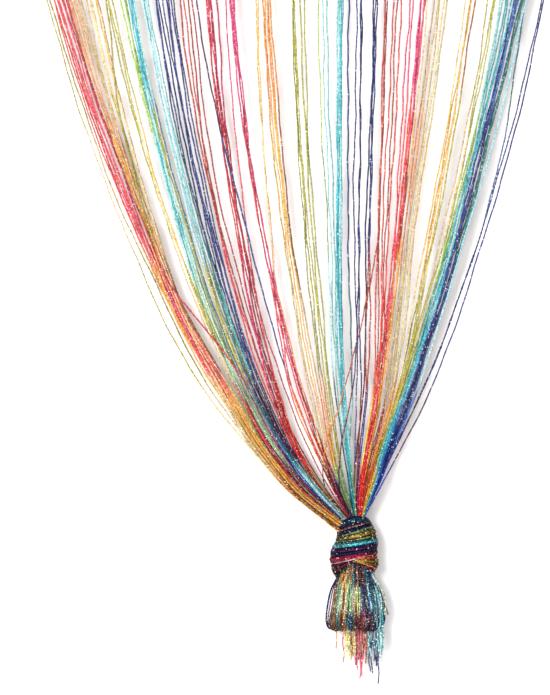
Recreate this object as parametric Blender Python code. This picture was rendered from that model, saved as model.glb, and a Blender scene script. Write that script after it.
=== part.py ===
"""String curtain gathered in one knot, with a folded tail and loose cut ends.

Metres, +Z up, front towards -Y. The origin is the middle of the heading's top edge.
"""

import math
from collections import namedtuple

import bmesh
import bpy
import numpy as np
from mathutils import Vector
from mathutils.geometry import delaunay_2d_cdt

MM = 0.001

# Heading band, in mm
HEADING_WIDTH = 900.0
HEADING_HEIGHT = 40.0
HEADING_THICKNESS = 3.0
HEADING_SIDE_MARGIN = 3.0

# Hanging strings, in mm: each is three-sided, measured from its middle to a corner
STRING_RADIUS = 1.0
STRING_RADIUS_AT_KNOT = 0.75
STRING_CLEARANCE = 2.1
STRING_CLEARANCE_AT_KNOT = 1.75

# Heights at which the strings' sideways places are set, in mm below the top edge
WIDE_DROP = 720.0
MIDDLE_DROP = 1008.0
NARROW_DROP = 1224.0
NECK_DROP = 1296.0
MOUTH_DROP = 1344.0
STRING_DROPS = (HEADING_HEIGHT, 380.0, WIDE_DROP, 880.0, MIDDLE_DROP, 1115.0, 1200.0, 1260.0, 1308.0)
DEPTH_SHARES = (0.0, 0.05, 0.12, 0.2, 0.32, 0.46, 0.64, 0.8, 0.92, 1.0)

# Locks from left to right. Places are mm from the middle at the four drops above,
# spreads are the lock's width at the wide and the narrow drop.
Lock = namedtuple("Lock", "strings layer wide middle narrow neck spread_wide spread_narrow")
FRONT, MIDDLE, BACK = -1, 0, 1
OUTER_LAYER_DEPTH = 0.82
MIDDLE_LAYER_DEPTH = 0.75
NECK_SPREAD_SHARE = 0.8
LOCKS = (
    Lock(2, FRONT, -272, -173, -56, 5, 4, 8),
    Lock(5, BACK, -262, -160, -42, 17, 9, 7),
    Lock(3, MIDDLE, -253, -151, -38, 23, 6, 6),
    Lock(1, FRONT, -249, -147, -8, 30, 0, 0),
    Lock(3, MIDDLE, -246, -146, -36, 14, 5, 5),
    Lock(4, FRONT, -238, -144, -41, 9, 8, 9),
    Lock(5, FRONT, -219, -139, -35, 15, 14, 9),
    Lock(1, FRONT, -206, -145, -29, 18, 0, 0),
    Lock(3, MIDDLE, -198, -121, -24, 19, 5, 6),
    Lock(2, MIDDLE, -182, -110, -24, 25, 3, 3),
    Lock(3, MIDDLE, -176, -108, -21, 28, 4, 4),
    Lock(3, BACK, -172, -102, -16, 30, 5, 5),
    Lock(4, MIDDLE, -155, -91, -7, 42, 7, 7),
    Lock(8, MIDDLE, -133, -77, -3, 39, 24, 11),
    Lock(4, MIDDLE, -107, -61, 11, 49, 14, 9),
    Lock(1, FRONT, -95, -32, 35, 64, 0, 0),
    Lock(4, MIDDLE, -80, -42, 11, 42, 5, 9),
    Lock(1, FRONT, -78, -38, 26, 59, 0, 0),
    Lock(2, MIDDLE, -64, -36, 14, 46, 11, 4),
    Lock(4, MIDDLE, -52, -13, 43, 71, 4, 6),
    Lock(2, MIDDLE, -22, -4, 32, 67, 2, 3),
    Lock(5, MIDDLE, -10, 16, 54, 71, 10, 11),
    Lock(5, MIDDLE, 26, 42, 67, 79, 17, 10),
    Lock(3, MIDDLE, 57, 67, 79, 90, 11, 5),
    Lock(5, MIDDLE, 79, 77, 84, 92, 6, 5),
    Lock(1, BACK, 89, 88, 92, 88, 0, 0),
    Lock(2, MIDDLE, 101, 98, 100, 97, 6, 4),
    Lock(1, FRONT, 104, 101, 88, 75, 0, 0),
    Lock(3, BACK, 121, 112, 106, 98, 4, 5),
    Lock(1, FRONT, 130, 122, 74, 56, 0, 0),
    Lock(5, MIDDLE, 142, 129, 117, 103, 21, 6),
    Lock(2, MIDDLE, 164, 143, 118, 104, 6, 3),
    Lock(4, MIDDLE, 176, 148, 120, 107, 4, 4),
    Lock(2, MIDDLE, 182, 150, 122, 108, 3, 3),
    Lock(5, MIDDLE, 199, 160, 131, 111, 16, 8),
    Lock(5, MIDDLE, 235, 186, 139, 114, 12, 6),
    Lock(4, MIDDLE, 263, 204, 140, 116, 13, 5),
    Lock(6, FRONT, 282, 213, 145, 119, 14, 7),
    Lock(5, MIDDLE, 295, 222, 153, 124, 11, 7),
    Lock(1, BACK, 300, 244, 161, 126, 0, 0),
    Lock(2, FRONT, 320, 246, 165, 127, 3, 9),
)

# Knot, in mm: rings of the wound form from the slanted mouth down. A ring's tilt raises its
# right side, and its sag lowers both its sides, so that the knot ends in an arch.
Ring = namedtuple("Ring", "drop middle half_width tilt sag")
KNOT_RINGS = (
    Ring(MOUTH_DROP, 92.5, 18.0, 20.0, 0.0),
    Ring(1353.0, 95.5, 20.5, 16.0, 0.0),
    Ring(1363.0, 97.5, 23.0, 13.0, 0.5),
    Ring(1372.0, 97.0, 25.0, 10.0, 2.0),
    Ring(1380.0, 95.5, 27.0, 7.0, 5.0),
    Ring(1386.0, 95.0, 28.5, 4.0, 9.5),
    Ring(1391.0, 95.0, 24.5, 0.0, 14.0),
)
KNOT_DEPTH_SHARE = 0.82
KNOT_WRAPS = 8
RINGS_PER_WRAP = 5
KNOT_SIDES = 24
WRAP_HEIGHT = 1.6
MOUTH_GAP = 0.5
MOUTH_MARGIN = 2.0
MOUTH_ARC = math.radians(72.0)
RIM_SHARE = 0.92

# Tail below the knot, in mm: a head under the knot's arch that holds the roots, a bell of
# folded strings round it, and loose ends through its middle
TAIL_MIDDLE = 95.5
HEAD_DROP = 1404.0
HEAD_GAP = 0.5
HEAD_TOP_HALF_WIDTH = 15.5
HEAD_HALF_WIDTH = 17.5
HEAD_SIDES = 28
TAIL_DEPTH_SHARE = 0.7
BELL_STRINGS = 38
Girth = namedtuple("Girth", "drop middle half_width radius")
BELL_GIRTHS = (
    Girth(HEAD_DROP, TAIL_MIDDLE, 15.8, 0.8),
    Girth(1414.0, 96.0, 23.0, 1.0),
    Girth(1428.0, 96.5, 27.5, 1.3),
    Girth(1446.0, 97.0, 30.5, 1.5),
    Girth(1462.0, 96.5, 32.5, 1.4),
    Girth(1470.5, 95.5, 32.0, 1.2),
    Girth(1474.5, 95.0, 29.0, 1.2),
    Girth(1470.5, 95.0, 25.8, 1.1),
    Girth(1455.0, 95.5, 24.0, 1.0),
)
SLACK_SHARES = np.array([0.0, 0.1, 0.3, 1.0, 1.0, 0.6, 0.2, 0.0, 0.0])
FOLD_UNEVENNESS = np.array([0.0, 0.0, 0.0, 0.0, 0.6, 1.1, 1.3, 1.1, 0.6])

# Slack loops at the bell's sides: the angle round the bell in degrees from the right, and how
# far the loop stands out
SlackLoop = namedtuple("SlackLoop", "angle bulge")
SLACK_LOOPS = (
    SlackLoop(180.0, 3.5),
    SlackLoop(204.5, 1.5),
    SlackLoop(0.0, 2.5),
    SlackLoop(335.5, 1.0),
)

# Loose ends from left to right, in mm: where they hang and how far down they are cut
LooseLock = namedtuple("LooseLock", "strings middle spread first_end last_end")
LOOSE_LOCKS = (
    LooseLock(1, 72.0, 0, 1498, 1498),
    LooseLock(1, 82.0, 0, 1516, 1516),
    LooseLock(7, 91.0, 14, 1506, 1513),
    LooseLock(8, 104.0, 13, 1522, 1534),
    LooseLock(3, 113.0, 5, 1520, 1531),
    LooseLock(3, 121.0, 6, 1533, 1541),
    LooseLock(5, 126.0, 9, 1506, 1513),
)
LOOSE_RADIUS = 0.8
LOOSE_DEPTH = 6.5
LOOSE_CLEARANCE = 2.0
LOOSE_ROOT_REACH = 11.5
LOOSE_REACH = 21.0
LOOSE_DROPS = (HEAD_DROP, 1440.0, 1479.0, 1500.0)

# How evenly spread numbers between 0 and 1 follow one another in depth
GOLDEN_SHARE = (math.sqrt(5.0) - 1.0) / 2.0

# How strings are moved apart: passes over all pairs, and the length in mm below which the
# way between two strings has no direction of its own
SEPARATION_ROUNDS = 400
LEAST_LENGTH = 0.05


def clear_scene():
    """Remove every object that the scene starts with."""
    for item in list(bpy.data.objects):
        bpy.data.objects.remove(item, do_unlink=True)


def fabric(name, colour, roughness, metallic):
    """Return a Principled material with one colour."""
    material = bpy.data.materials.new(name)
    material.use_nodes = True
    shader = material.node_tree.nodes["Principled BSDF"]
    shader.inputs["Base Color"].default_value = (*colour, 1.0)
    shader.inputs["Roughness"].default_value = roughness
    shader.inputs["Metallic"].default_value = metallic
    return material


def add_object(name, points, faces, material):
    """Make a mesh object of points in mm, with triangles and outward faces."""
    mesh = bpy.data.meshes.new(name)
    mesh.from_pydata([tuple(point) for point in np.asarray(points) * MM], [], faces)
    shape = bmesh.new()
    shape.from_mesh(mesh)
    bmesh.ops.triangulate(shape, faces=shape.faces)
    bmesh.ops.recalc_face_normals(shape, faces=shape.faces)
    shape.to_mesh(mesh)
    shape.free()
    mesh.materials.append(material)
    item = bpy.data.objects.new(name, mesh)
    bpy.context.collection.objects.link(item)
    return item


def smooth_through(stations, values, places):
    """Read a smooth curve through values at rising stations, along the last axis.

    Each stretch is a cubic whose slopes are those of the neighbouring stretches, weighted by
    how near they are.
    """
    stations = np.asarray(stations, float)
    values = np.asarray(values, float)
    step = np.diff(stations)
    slope = np.diff(values, axis=-1) / step
    inner = (slope[..., :-1] * step[1:] + slope[..., 1:] * step[:-1]) / (step[1:] + step[:-1])
    slopes = np.concatenate([slope[..., :1], inner, slope[..., -1:]], axis=-1)
    stretch = np.clip(np.searchsorted(stations, places, side="right") - 1, 0, len(step) - 1)
    width = step[stretch]
    share = (np.asarray(places) - stations[stretch]) / width
    start, end = values[..., stretch], values[..., stretch + 1]
    leave, arrive = slopes[..., stretch] * width, slopes[..., stretch + 1] * width
    return (
        start * (1 + 2 * share) * (1 - share) ** 2
        + leave * share * (1 - share) ** 2
        + end * share**2 * (3 - 2 * share)
        - arrive * share**2 * (1 - share)
    )


def keep_apart(places, clearance):
    """Move strings sideways until no two come nearer than the clearance.

    places holds x and y of each string at each level, and clearance one distance for each
    stretch between levels. Between levels a string is straight, so the nearest approach of two
    strings there is that of two points in steady motion. Roots stay where they are.
    """
    count = len(places)
    places = places.copy()
    one, other = np.triu_indices(count, 1)
    sideways = np.where((one + other) % 2 == 0, 1.0, -1.0)
    for _ in range(SEPARATION_ROUNDS):
        push = np.zeros_like(places)
        touches = np.ones(places.shape[:2])
        for level, distance in enumerate(clearance):
            start = places[one, level] - places[other, level]
            change = places[one, level + 1] - places[other, level + 1] - start
            travel = np.maximum((change**2).sum(axis=1), 1e-9)
            share = np.clip(-(start * change).sum(axis=1) / travel, 0.0, 1.0)
            nearest = start + change * share[:, None]
            length = np.linalg.norm(nearest, axis=1)
            close = np.flatnonzero(length < distance)
            if not len(close):
                continue
            nearest, length, share = nearest[close], length[close], share[close]
            flat = length < LEAST_LENGTH
            nearest[flat] = np.stack([0 * sideways[close][flat], sideways[close][flat]], axis=1)
            length[flat] = 1.0
            lack = (distance - np.where(flat, 0.0, length)) * 0.5
            weight = (1 - share) ** 2 + share**2
            move = nearest / length[:, None] * (lack / weight)[:, None]
            for end, part in ((0, 1 - share), (1, share)):
                np.add.at(push[:, level + end], one[close], move * part[:, None])
                np.add.at(push[:, level + end], other[close], -move * part[:, None])
                np.add.at(touches[:, level + end], one[close], part)
                np.add.at(touches[:, level + end], other[close], part)
        push[:, 0] = 0.0
        places += push / np.sqrt(touches)[..., None]
    return places


def corner_rings(middles, radii):
    """Return the three corners of each string at each level, flat side to the front."""
    angles = np.radians([90.0, 210.0, 330.0])
    corners = np.stack([np.cos(angles), np.sin(angles), 0 * angles], axis=1)
    return middles[:, :, None, :] + corners * np.asarray(radii)[..., None, None]


def strip_cap(first, sides):
    """Close a ring with strips from front to back, so that the cap follows the ring's sag.

    The ring's corners run round from its right end, and those at one sideways place are joined.
    """
    faces = [[first, first + 1, first + sides - 1]]
    for side in range(1, sides // 2 - 1):
        faces.append([first + side, first + side + 1, first + sides - side - 1, first + sides - side])
    half = first + sides // 2
    return faces + [[half - 1, half, half + 1]]


def rooted_mesh(top_outline, bottom_outline, cap, rings_of_locks):
    """Join strings to the underside of a backing, so that they are one closed shape.

    The underside is cut into triangles round every root, and each root's own triangle is left
    open for its string. cap holds the faces that close the top outline, and rings_of_locks a
    list of arrays: string, level, corner, coordinate.
    """
    sides = len(top_outline)
    points = [tuple(point) for point in top_outline] + [tuple(point) for point in bottom_outline]
    faces = list(cap)
    for corner in range(sides):
        following = (corner + 1) % sides
        faces.append([corner, corner + sides, following + sides, following])
    strings = [rings for lock in rings_of_locks for rings in lock]
    roots = []
    for rings in strings:
        roots.append(len(points))
        points += [tuple(corner) for corner in rings.reshape(-1, 3)]
    flat = [Vector(points[sides + corner][:2]) for corner in range(sides)]
    owners = [sides + corner for corner in range(sides)]
    outlines = [list(range(sides))]
    for root in roots:
        outlines.append([len(flat), len(flat) + 1, len(flat) + 2])
        flat += [Vector(points[root + corner][:2]) for corner in range(3)]
        owners += [root, root + 1, root + 2]
    found = delaunay_2d_cdt(flat, [], outlines, 1, 1e-6, True)
    owner_of = [owners[sources[0]] for sources in found[3]]
    for face, sources in zip(found[2], found[5]):
        if max(sources) == 0:
            faces.append([owner_of[corner] for corner in face])
    for root, rings in zip(roots, strings):
        levels = len(rings)
        for level in range(levels - 1):
            base = root + 3 * level
            for corner in range(3):
                following = (corner + 1) % 3
                faces.append([base + corner, base + following, base + following + 3, base + corner + 3])
        tip = root + 3 * (levels - 1)
        faces.append([tip, tip + 1, tip + 2])
    return points, faces


def mouth_height(x):
    """Return the height of the knot's slanted mouth at a sideways place."""
    top = KNOT_RINGS[0]
    return -top.drop + math.tan(math.radians(top.tilt)) * (x - top.middle)


def string_places():
    """Return x and y of every hanging string at each drop and at the knot's mouth."""
    count = sum(lock.strings for lock in LOCKS)
    half = HEADING_WIDTH / 2 - HEADING_SIDE_MARGIN
    heads = np.linspace(-half, half, count)
    stations, layers = [], []
    for lock in LOCKS:
        across = np.linspace(-0.5, 0.5, lock.strings) if lock.strings > 1 else np.zeros(1)
        for share in across:
            middle_spread = 0.5 * (lock.spread_wide + lock.spread_narrow)
            stations.append((
                lock.wide + share * lock.spread_wide,
                lock.middle + share * middle_spread,
                lock.narrow + share * lock.spread_narrow,
                lock.neck + share * NECK_SPREAD_SHARE * lock.spread_narrow,
            ))
            layers.append(lock.layer)
    stations, layers = np.array(stations), np.array(layers, float)
    order = np.argsort(np.argsort(stations[:, 3] + 1e-3 * np.arange(count)))
    mouth = KNOT_RINGS[0]
    reach = mouth.half_width * math.cos(math.radians(mouth.tilt)) - MOUTH_MARGIN
    across = 2.0 * (order + 0.5) / count - 1.0
    ends = mouth.middle + reach * np.sin(across * MOUTH_ARC)
    drops = (HEADING_HEIGHT, WIDE_DROP, MIDDLE_DROP, NARROW_DROP, NECK_DROP, MOUTH_DROP)
    x = smooth_through(drops, np.column_stack([heads, stations, ends]), STRING_DROPS)
    x = np.column_stack([x, ends])
    turn = (np.arange(count) * GOLDEN_SHARE) % 1.0 * 2.0 - 1.0
    outer = OUTER_LAYER_DEPTH * layers + (1.0 - OUTER_LAYER_DEPTH) * turn
    depth = np.where(layers == MIDDLE, MIDDLE_LAYER_DEPTH * turn, outer)
    chord = np.sqrt(1.0 - (RIM_SHARE * across) ** 2)
    deepest = (mouth.half_width * KNOT_DEPTH_SHARE - MOUTH_MARGIN) * chord
    y = (depth * deepest)[:, None] * np.array(DEPTH_SHARES)
    places = np.stack([x, y], axis=2)
    clearance = np.linspace(STRING_CLEARANCE, STRING_CLEARANCE_AT_KNOT, len(STRING_DROPS))
    return keep_apart(places, clearance)


def build_hanging_strings():
    """Build the heading band with all hanging strings rooted in its lower edge."""
    places = string_places()
    count, levels = places.shape[:2]
    middles = np.zeros((count, levels, 3))
    middles[:, :, :2] = places
    middles[:, :-1, 2] = -np.array(STRING_DROPS)
    radii = np.linspace(STRING_RADIUS, STRING_RADIUS_AT_KNOT, levels)
    rings = corner_rings(middles, radii[None, :])
    rings[:, -1, :, 2] = mouth_height(rings[:, -1, :, 0]) + MOUTH_GAP
    half, deep = HEADING_WIDTH / 2, HEADING_THICKNESS / 2
    outline = [(-half, -deep), (half, -deep), (half, deep), (-half, deep)]
    top = [(x, y, 0.0) for x, y in outline]
    bottom = [(x, y, -HEADING_HEIGHT) for x, y in outline]
    points, faces = rooted_mesh(top, bottom, [[0, 1, 2, 3]], [rings])
    material = fabric("rainbow_lurex_string", (0.52, 0.30, 0.28), 0.42, 0.25)
    return add_object("heading_strings", points, faces, material)


def build_knot():
    """Build the knot as a closed wound form with one spiral ridge for each wrap."""
    rows = KNOT_WRAPS * RINGS_PER_WRAP + 1
    along = np.linspace(0.0, 1.0, rows)
    stations = np.linspace(0.0, 1.0, len(KNOT_RINGS))
    drop, middle, half_width, tilt, sag = smooth_through(stations, np.array(KNOT_RINGS).T, along)
    tilt = np.radians(tilt)
    angle = np.linspace(0.0, 2 * math.pi, KNOT_SIDES, endpoint=False)
    wound = KNOT_WRAPS * along[:, None] - angle[None, :] / (2 * math.pi)
    ridge = WRAP_HEIGHT * (np.abs(np.sin(math.pi * wound)) - 1.0)
    fade = np.minimum(1.0, 6.0 * np.minimum(along, 1.0 - along))[:, None]
    out = half_width[:, None] + ridge * fade
    across = out * np.cos(angle)
    x = middle[:, None] + across * np.cos(tilt)[:, None]
    y = KNOT_DEPTH_SHARE * out * np.sin(angle)
    z = -drop[:, None] + across * np.sin(tilt)[:, None] - sag[:, None] * np.cos(angle) ** 2
    points = np.stack([x, y, z], axis=2).reshape(-1, 3)
    faces = strip_cap(0, KNOT_SIDES) + strip_cap(KNOT_SIDES * (rows - 1), KNOT_SIDES)
    for row in range(rows - 1):
        for side in range(KNOT_SIDES):
            following = (side + 1) % KNOT_SIDES
            low = row * KNOT_SIDES
            high = low + KNOT_SIDES
            faces.append([low + side, low + following, high + following, high + side])
    material = fabric("wound_string", (0.10, 0.13, 0.18), 0.45, 0.25)
    return add_object("gather_knot", points, faces, material)


def bell_rings():
    """Return the corners of the bell's strings, which fold in at the bottom and rise again.

    Each string runs in an upright plane through the bell's axis. Its corners lie square to its
    run there, with a flat side outwards.
    """
    angle = np.linspace(0.0, 2 * math.pi, BELL_STRINGS, endpoint=False)
    drop, middle, half_width, radius = np.array(BELL_GIRTHS).T
    out = np.tile(half_width, (BELL_STRINGS, 1))
    low = np.tile(drop, (BELL_STRINGS, 1))
    for loop in SLACK_LOOPS:
        nearest = int(round(loop.angle / 360.0 * BELL_STRINGS)) % BELL_STRINGS
        out[nearest] += loop.bulge * SLACK_SHARES
    uneven = np.sin(3.0 * angle + 0.6) + 0.7 * np.sin(7.0 * angle)
    low += uneven[:, None] * FOLD_UNEVENNESS
    x = middle + out * np.cos(angle)[:, None]
    y = TAIL_DEPTH_SHARE * out * np.sin(angle)[:, None]
    middles = np.stack([x, y, -low], axis=2)
    run = np.gradient(middles, axis=1)
    run[:, 0] = (0.0, 0.0, -1.0)
    round_way = np.stack([-np.sin(angle), np.cos(angle), 0 * angle], axis=1)[:, None, :]
    run -= round_way * (run * round_way).sum(axis=2, keepdims=True)
    run /= np.linalg.norm(run, axis=2, keepdims=True)
    inward = np.cross(np.broadcast_to(round_way, run.shape), run)
    rings = []
    for corner in np.radians([90.0, 210.0, 330.0]):
        away = math.cos(corner) * round_way + math.sin(corner) * inward
        rings.append(middles + radius[:, None] * away)
    return np.stack(rings, axis=2)


def loose_rings():
    """Return the corners of the loose strings, from the head through the bell to their cut ends."""
    spread_places, ends = [], []
    for lock in LOOSE_LOCKS:
        for step in range(lock.strings):
            share = step / max(lock.strings - 1, 1)
            mixed = (step * GOLDEN_SHARE) % 1.0
            spread_places.append(lock.middle + (share - 0.5) * lock.spread)
            ends.append(lock.first_end + mixed * (lock.last_end - lock.first_end))
    spread_places, ends = np.array(spread_places), np.array(ends, float)
    count = len(ends)
    across = 2.0 * (np.arange(count) + 0.5) / count - 1.0
    turn = (np.arange(count) * GOLDEN_SHARE) % 1.0 * 2.0 - 1.0
    depth = LOOSE_DEPTH * np.sqrt(1.0 - (RIM_SHARE * across) ** 2) * turn
    root = np.stack([TAIL_MIDDLE + LOOSE_ROOT_REACH * across, depth], axis=1)
    mouth = TAIL_MIDDLE + np.clip(spread_places - TAIL_MIDDLE, -LOOSE_REACH, LOOSE_REACH)
    inside = np.stack([0.5 * (root[:, 0] + mouth), 1.1 * depth], axis=1)
    mouth = np.stack([mouth, depth], axis=1)
    spread = np.stack([spread_places, 0.8 * depth], axis=1)
    end = np.stack([spread_places + 1.5 * np.sin(5.0 * np.arange(count)), 0.9 * depth], axis=1)
    places = np.stack([root, inside, mouth, spread, end], axis=1)
    places = keep_apart(places, [LOOSE_CLEARANCE] * len(LOOSE_DROPS))
    drops = np.column_stack([np.tile(LOOSE_DROPS, (count, 1)), ends])
    middles = np.concatenate([places, -drops[..., None]], axis=2)
    return corner_rings(middles, np.full(drops.shape, LOOSE_RADIUS))


def arch_height(x):
    """Return the height of the arch in which the knot ends, at a sideways place."""
    low = KNOT_RINGS[-1]
    return -low.drop - low.sag * ((x - low.middle) / low.half_width) ** 2


def build_tail():
    """Build the tail: its head with the folded bell strings and the loose cut ends."""
    angle = np.linspace(0.0, 2 * math.pi, HEAD_SIDES, endpoint=False)
    round_form = np.stack([np.cos(angle), TAIL_DEPTH_SHARE * np.sin(angle)], axis=1)
    centre = np.array([TAIL_MIDDLE, 0.0])
    top = [(x, y, arch_height(x) - HEAD_GAP) for x, y in centre + HEAD_TOP_HALF_WIDTH * round_form]
    bottom = [(x, y, -HEAD_DROP) for x, y in centre + HEAD_HALF_WIDTH * round_form]
    cap = strip_cap(0, HEAD_SIDES)
    points, faces = rooted_mesh(top, bottom, cap, [bell_rings(), loose_rings()])
    material = fabric("tail_string", (0.20, 0.19, 0.14), 0.42, 0.25)
    return add_object("tail", points, faces, material)


def main():
    """Build the whole curtain."""
    clear_scene()
    build_hanging_strings()
    build_knot()
    build_tail()


main()
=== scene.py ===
"""Rainbow string curtain: foil threads under a woven heading, gathered in one wound knot.

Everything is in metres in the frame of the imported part: +Z up, front towards -Y, origin at the
middle of the heading's top edge.
"""

import logging
import math
from dataclasses import astuple, dataclass, field
from enum import Enum
from typing import Any, Sequence

import bpy
import numpy as np
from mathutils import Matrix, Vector


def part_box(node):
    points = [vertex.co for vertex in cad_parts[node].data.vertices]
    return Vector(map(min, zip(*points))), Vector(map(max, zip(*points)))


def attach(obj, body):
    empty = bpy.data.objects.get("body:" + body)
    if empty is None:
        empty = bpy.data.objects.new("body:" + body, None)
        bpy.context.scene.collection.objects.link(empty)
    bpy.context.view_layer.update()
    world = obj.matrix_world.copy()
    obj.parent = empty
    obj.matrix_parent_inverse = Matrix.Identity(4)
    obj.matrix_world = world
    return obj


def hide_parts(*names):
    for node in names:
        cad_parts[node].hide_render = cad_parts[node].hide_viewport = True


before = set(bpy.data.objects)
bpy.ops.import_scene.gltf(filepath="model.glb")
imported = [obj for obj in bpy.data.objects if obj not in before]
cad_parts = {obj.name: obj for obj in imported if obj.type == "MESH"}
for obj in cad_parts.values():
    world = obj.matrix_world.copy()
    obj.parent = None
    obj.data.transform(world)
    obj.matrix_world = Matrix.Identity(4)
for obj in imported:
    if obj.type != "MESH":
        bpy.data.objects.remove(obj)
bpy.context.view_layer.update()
MM = 0.001
FULL_TURN = 2.0 * math.pi
# Random phases of sines are drawn from this range, in radians.
PHASES = (0.0, 6.0)
# A vector's length counts as this at least where it is divided by.
NEXT_TO_NOTHING = 1e-12
# A colour of this brightness takes half the paleness that a very bright one takes.
HALF_FADED_LIGHT = 0.1
OUT_OF_THE_FRONT = np.array([0.0, -1.0, 0.0])
BLACK = (0.0, 0.0, 0.0, 1.0)
WHITE = (1.0, 1.0, 1.0, 1.0)
LOG = logging.getLogger("string_curtain")
Rows = np.ndarray


class Hue(Enum):
    """The thread colours, as screen colours from 0 to 255."""

    GOLD = (218, 166, 70)
    IVORY = (226, 216, 178)
    SAND = (210, 186, 132)
    AMBER = (216, 152, 82)
    BROWN = (140, 78, 34)
    ORANGE = (234, 138, 48)
    PEACH = (238, 178, 132)
    RED = (206, 36, 38)
    BRICK = (166, 50, 44)
    MAROON = (98, 18, 34)
    CRIMSON = (184, 28, 66)
    ROSE = (208, 58, 84)
    MAGENTA = (198, 34, 106)
    PINK = (206, 160, 170)
    PLUM = (52, 22, 62)
    VIOLET = (60, 58, 130)
    NAVY = (6, 40, 108)
    BLUE = (34, 92, 158)
    CYAN = (140, 208, 212)
    AQUA = (48, 168, 182)
    TEAL = (16, 92, 98)
    LIME = (146, 180, 86)
    SAGE = (126, 152, 108)
    MIST = (176, 204, 166)
    OLIVE = (160, 154, 54)

    @property
    def linear(self) -> tuple[float, float, float]:
        """The hue in the renderer's linear colour."""
        return linear_colour(self.value)


def linear_colour(screen: Sequence[float]) -> tuple[float, float, float]:
    """Turn a screen colour into a linear one, by the usual curve for screens.

    Args:
        screen: red, green and blue from 0 to 255.

    Returns:
        Linear red, green and blue from 0 to 1.
    """
    share = np.asarray(screen, float) / 255.0
    linear = np.where(share <= 0.04045, share / 12.92, ((share + 0.055) / 1.055) ** 2.4)
    return tuple(float(value) for value in linear)


# Shader building


@dataclass(frozen=True)
class Signal:
    """A number that varies over a surface: one output socket, with operators that add nodes."""

    graph: "Graph"
    socket: Any

    def _with(self, operation: str, *values: Any) -> "Signal":
        """Add one Math node."""
        return self.graph.node("ShaderNodeMath", {"operation": operation}, dict(enumerate(values)))

    def __add__(self, other: Any) -> "Signal":
        """Add a number or a signal."""
        return self._with("ADD", self, other)

    def __radd__(self, other: Any) -> "Signal":
        """Add to a number."""
        return self._with("ADD", other, self)

    def __sub__(self, other: Any) -> "Signal":
        """Take away a number or a signal."""
        return self._with("SUBTRACT", self, other)

    def __rsub__(self, other: Any) -> "Signal":
        """Take away from a number."""
        return self._with("SUBTRACT", other, self)

    def __mul__(self, other: Any) -> "Signal":
        """Multiply by a number or a signal."""
        return self._with("MULTIPLY", self, other)

    def __rmul__(self, other: Any) -> "Signal":
        """Multiply a number."""
        return self._with("MULTIPLY", other, self)

    def __truediv__(self, other: Any) -> "Signal":
        """Divide by a number or a signal."""
        return self._with("DIVIDE", self, other)

    def __rtruediv__(self, other: Any) -> "Signal":
        """Divide a number."""
        return self._with("DIVIDE", other, self)

    def __gt__(self, other: Any) -> "Signal":
        """Return one where it is above a number, and nought elsewhere."""
        return self._with("GREATER_THAN", self, other)

    def __lt__(self, other: Any) -> "Signal":
        """Return one where it is below a number, and nought elsewhere."""
        return self._with("LESS_THAN", self, other)

    def __pow__(self, other: Any) -> "Signal":
        """Raise to a power."""
        return self._with("POWER", self, other)

    def __rpow__(self, other: Any) -> "Signal":
        """Raise a number to this power."""
        return self._with("POWER", other, self)

    def floor(self) -> "Signal":
        """Round down."""
        return self._with("FLOOR", self)

    def sine(self) -> "Signal":
        """Take the sine."""
        return self._with("SINE", self)


class Graph:
    """The node tree of one material."""

    def __init__(self, name: str) -> None:
        """Make a material with a Principled shader.

        Args:
            name: the material's name.
        """
        self.material = bpy.data.materials.new(name)
        self.material.use_nodes = True
        self.tree = self.material.node_tree
        self.shader = self.tree.nodes["Principled BSDF"]

    def node(self, kind: str, settings: dict[str, Any], inputs: dict[Any, Any], output: Any = 0) -> Signal:
        """Add a node, give it its settings and then its inputs.

        Args:
            kind: the node's type.
            settings: properties of the node, set first.
            inputs: socket name or number to a value or a signal.
            output: the name or number of the socket to return.

        Returns:
            The output as a signal.
        """
        made = self.tree.nodes.new(kind)
        for key, value in settings.items():
            setattr(made, key, value)
        for key, value in inputs.items():
            if isinstance(value, Signal):
                self.tree.links.new(value.socket, made.inputs[key])
            else:
                made.inputs[key].default_value = value
        return Signal(self, made.outputs[output])

    def blend(self, share: Any, first: Any, second: Any) -> Signal:
        """Mix two colours, from the first at a share of nought to the second at one."""
        # A Mix node's colours are its inputs 6 and 7, and the mixed colour is its output 2.
        return self.node("ShaderNodeMix", {"data_type": "RGBA"}, {0: share, 6: first, 7: second}, 2)

    def share(self, value: Any, low: float, high: float) -> Signal:
        """Return how far a value is from a low one to a high one, kept from nought to one."""
        return self.node("ShaderNodeMapRange", {}, {0: value, 1: low, 2: high, 3: 0.0, 4: 1.0})

    def chance(self, across: Any, along: Any) -> Signal:
        """Return an even random number from 0 to 1 for each pair of whole numbers."""
        place = self.node("ShaderNodeCombineXYZ", {}, {0: across, 1: along})
        return self.node("ShaderNodeTexWhiteNoise", {"noise_dimensions": "2D"}, {"Vector": place}, "Value")

    def bump(self, strength: float, distance: float, height: Signal) -> Signal:
        """Turn a height into a bump's normal."""
        return self.node("ShaderNodeBump", {}, {"Strength": strength, "Distance": distance, "Height": height})

    def feed(self, **inputs: Any) -> None:
        """Give the Principled shader its inputs.

        Args:
            inputs: socket name to a value or a signal, an underscore standing for a space in the name.
        """
        for key, value in inputs.items():
            socket = self.shader.inputs[key.replace("_", " ")]
            if isinstance(value, Signal):
                self.tree.links.new(value.socket, socket)
            else:
                socket.default_value = value


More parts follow.
